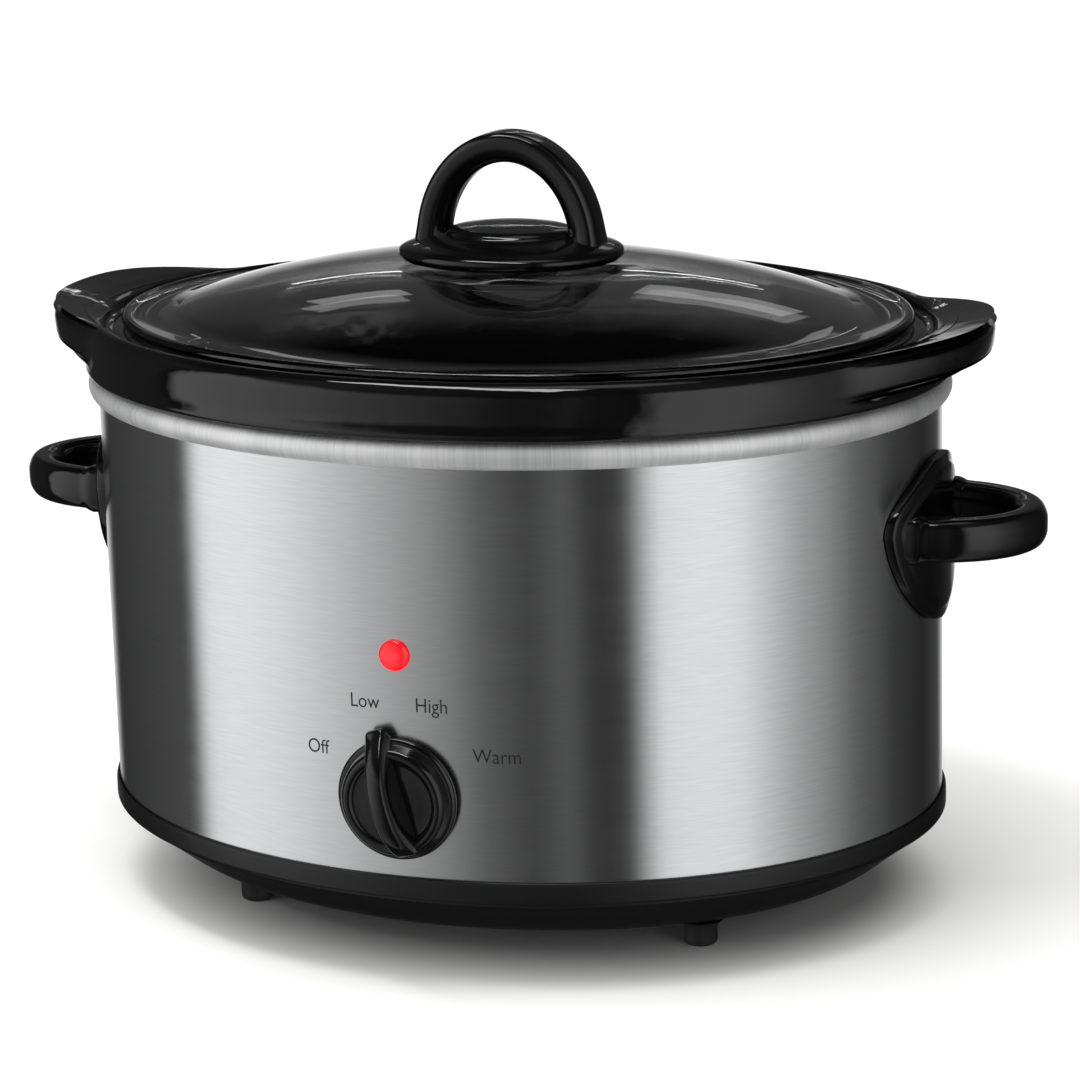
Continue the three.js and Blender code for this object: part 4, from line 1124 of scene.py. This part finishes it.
def blade_shell():
    """The blade: its side outline, lower and shorter at each step away from its ridge."""
    half = [(-across, share) for across, share in BLADE_STEPS]
    rings = []
    for across, share in half + [(-a, share) for a, share in reversed(half)]:
        length = 1 - BLADE_ROUNDING * (across / BLADE_STEPS[0][0]) ** 4
        rings.append([(across, along * length, BLADE_BASE + (out - BLADE_BASE) * share)
                      for along, out in blade_side])
    return skin(rings)


dial_place = Matrix.Translation((0, 0, DIAL_HEIGHT)) @ TO_FRONT @ Matrix.Rotation(DIAL_REST, 4, "Z")
dial_place = dial_place @ Matrix.Translation((0, 0, DIAL_BACK))
dial_shell = joined(lathe(dial_profile, 96), blade_shell())
piece("bladed_control_knob", moved(dial_shell, dial_place), phenolic, "knob", ["control_knob"],
      crease=40)

# %% [markdown]
# ## Lens and gland
# The lens is a low dome with a flange on the band, and its shank goes through the hole. The
# gland at the back is a rubber bush that guards the lead. No lead is made here, only its bush.

# %% Lens and gland
lens_profile = soften([
    (0, HALF_WIDTH - 4.4), (3.0, HALF_WIDTH - 4.4), (3.0, HALF_WIDTH - 1.4), (4.0, HALF_WIDTH - 1.2),
    (4.0, HALF_WIDTH + GAP), (5.0, HALF_WIDTH + GAP), (5.0, HALF_WIDTH + 0.9), (4.1, HALF_WIDTH + 1.8),
    (2.2, HALF_WIDTH + 2.3), (0, HALF_WIDTH + 2.4)], 0.7)
lens_place = Matrix.Translation((0, 0, LAMP_HEIGHT)) @ TO_FRONT
piece("red_indicator_lens", moved(lathe(lens_profile, 64), lens_place), lens_red, "base",
      ["indicator_lens"], crease=50)

gland_profile = soften([
    (3.5, HALF_WIDTH - 9), (5.0, HALF_WIDTH - 9), (6.0, HALF_WIDTH - 7), (6.0, HALF_WIDTH + GAP),
    (8.5, HALF_WIDTH + GAP), (8.5, HALF_WIDTH + 1.9), (7.5, HALF_WIDTH + 2.9), (3.5, HALF_WIDTH + 2.9)],
    0.7, closed=True)
gland_place = Matrix.Translation((0, 0, GLAND_HEIGHT)) @ TO_REAR
piece("rubber_lead_gland", moved(lathe(gland_profile, 64, looped=True), gland_place), rubber, "base",
      ["cord_gland"])

# %% [markdown]
# ## Dial words
# The four settings are screen printed on the steel in thin black capitals and small letters.
# Text is made as a flat mesh, scaled so that a capital is its true height, and laid on the oval.

# %% Printed settings
CAPITAL = 4.5
PRINT_THICK = 0.06
NARROWING = 0.88  # the lettering is a little narrower than the font
THINNING = 0.004  # and a little thinner, as a share of the font's size
SETTINGS = (("Off", -27.8, 74.7), ("Low", -10.6, 91.6), ("High", 11.7, 91.5), ("Warm", 32.0, 75.8))


def flat_text(words):
    """A flat mesh of some words, with its left end and its baseline at zero."""
    curve = bpy.data.curves.new("words", "FONT")
    curve.body = words
    curve.resolution_u = 6
    curve.offset = -THINNING
    holder = bpy.data.objects.new("words", curve)
    scene.collection.objects.link(holder)
    mesh = bpy.data.meshes.new_from_object(
        holder.evaluated_get(bpy.context.evaluated_depsgraph_get()))
    bpy.data.objects.remove(holder)
    bpy.data.curves.remove(curve)
    points = [tuple(vertex.co) for vertex in mesh.vertices]
    faces = [tuple(face.vertices) for face in mesh.polygons]
    bpy.data.meshes.remove(mesh)
    return points, faces


capital_points = flat_text("H")[0]
font_scale = CAPITAL / max(point[1] for point in capital_points)
for words, x, z in SETTINGS:
    points, faces = flat_text(words)
    middle = (min(point[0] for point in points) + max(point[0] for point in points)) / 2
    laid = []
    for point in points:
        u = x + (point[0] - middle) * font_scale * NARROWING
        laid.append((u, -oval_y(u, PRINT_THICK), z + point[1] * font_scale))
    piece("printed_" + words.lower(), (laid, faces), ink, "base")

# %% [markdown]
# ## Finishes on the pieces that stay
# The heater, the switch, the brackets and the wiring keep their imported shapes, which are true
# and mostly out of sight. Each takes its own finish.

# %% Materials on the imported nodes
STAYING = {
    mica: ["heating_element"],
    fibre: ["element_insulation"],
    zinc: ["element_strap", "switch_nut", "switch_spindle", "knob_clip", "tie_bracket", "fuse_clip",
           "handle_screw_right_front", "handle_screw_right_rear",
           "handle_screw_left_front", "handle_screw_left_rear"],
    nylon: ["switch_body", "indicator_body", "thermal_fuse", "terminal_block"],
    insulation: ["lead_live", "lead_neutral", "lead_lamp"],
}
for material, names in STAYING.items():
    for name in names:
        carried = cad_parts[name]
        if not carried.material_slots:
            carried.data.materials.append(material)
        for place in carried.material_slots:
            place.material = material
    print(material.name, "on", len(names), "nodes")
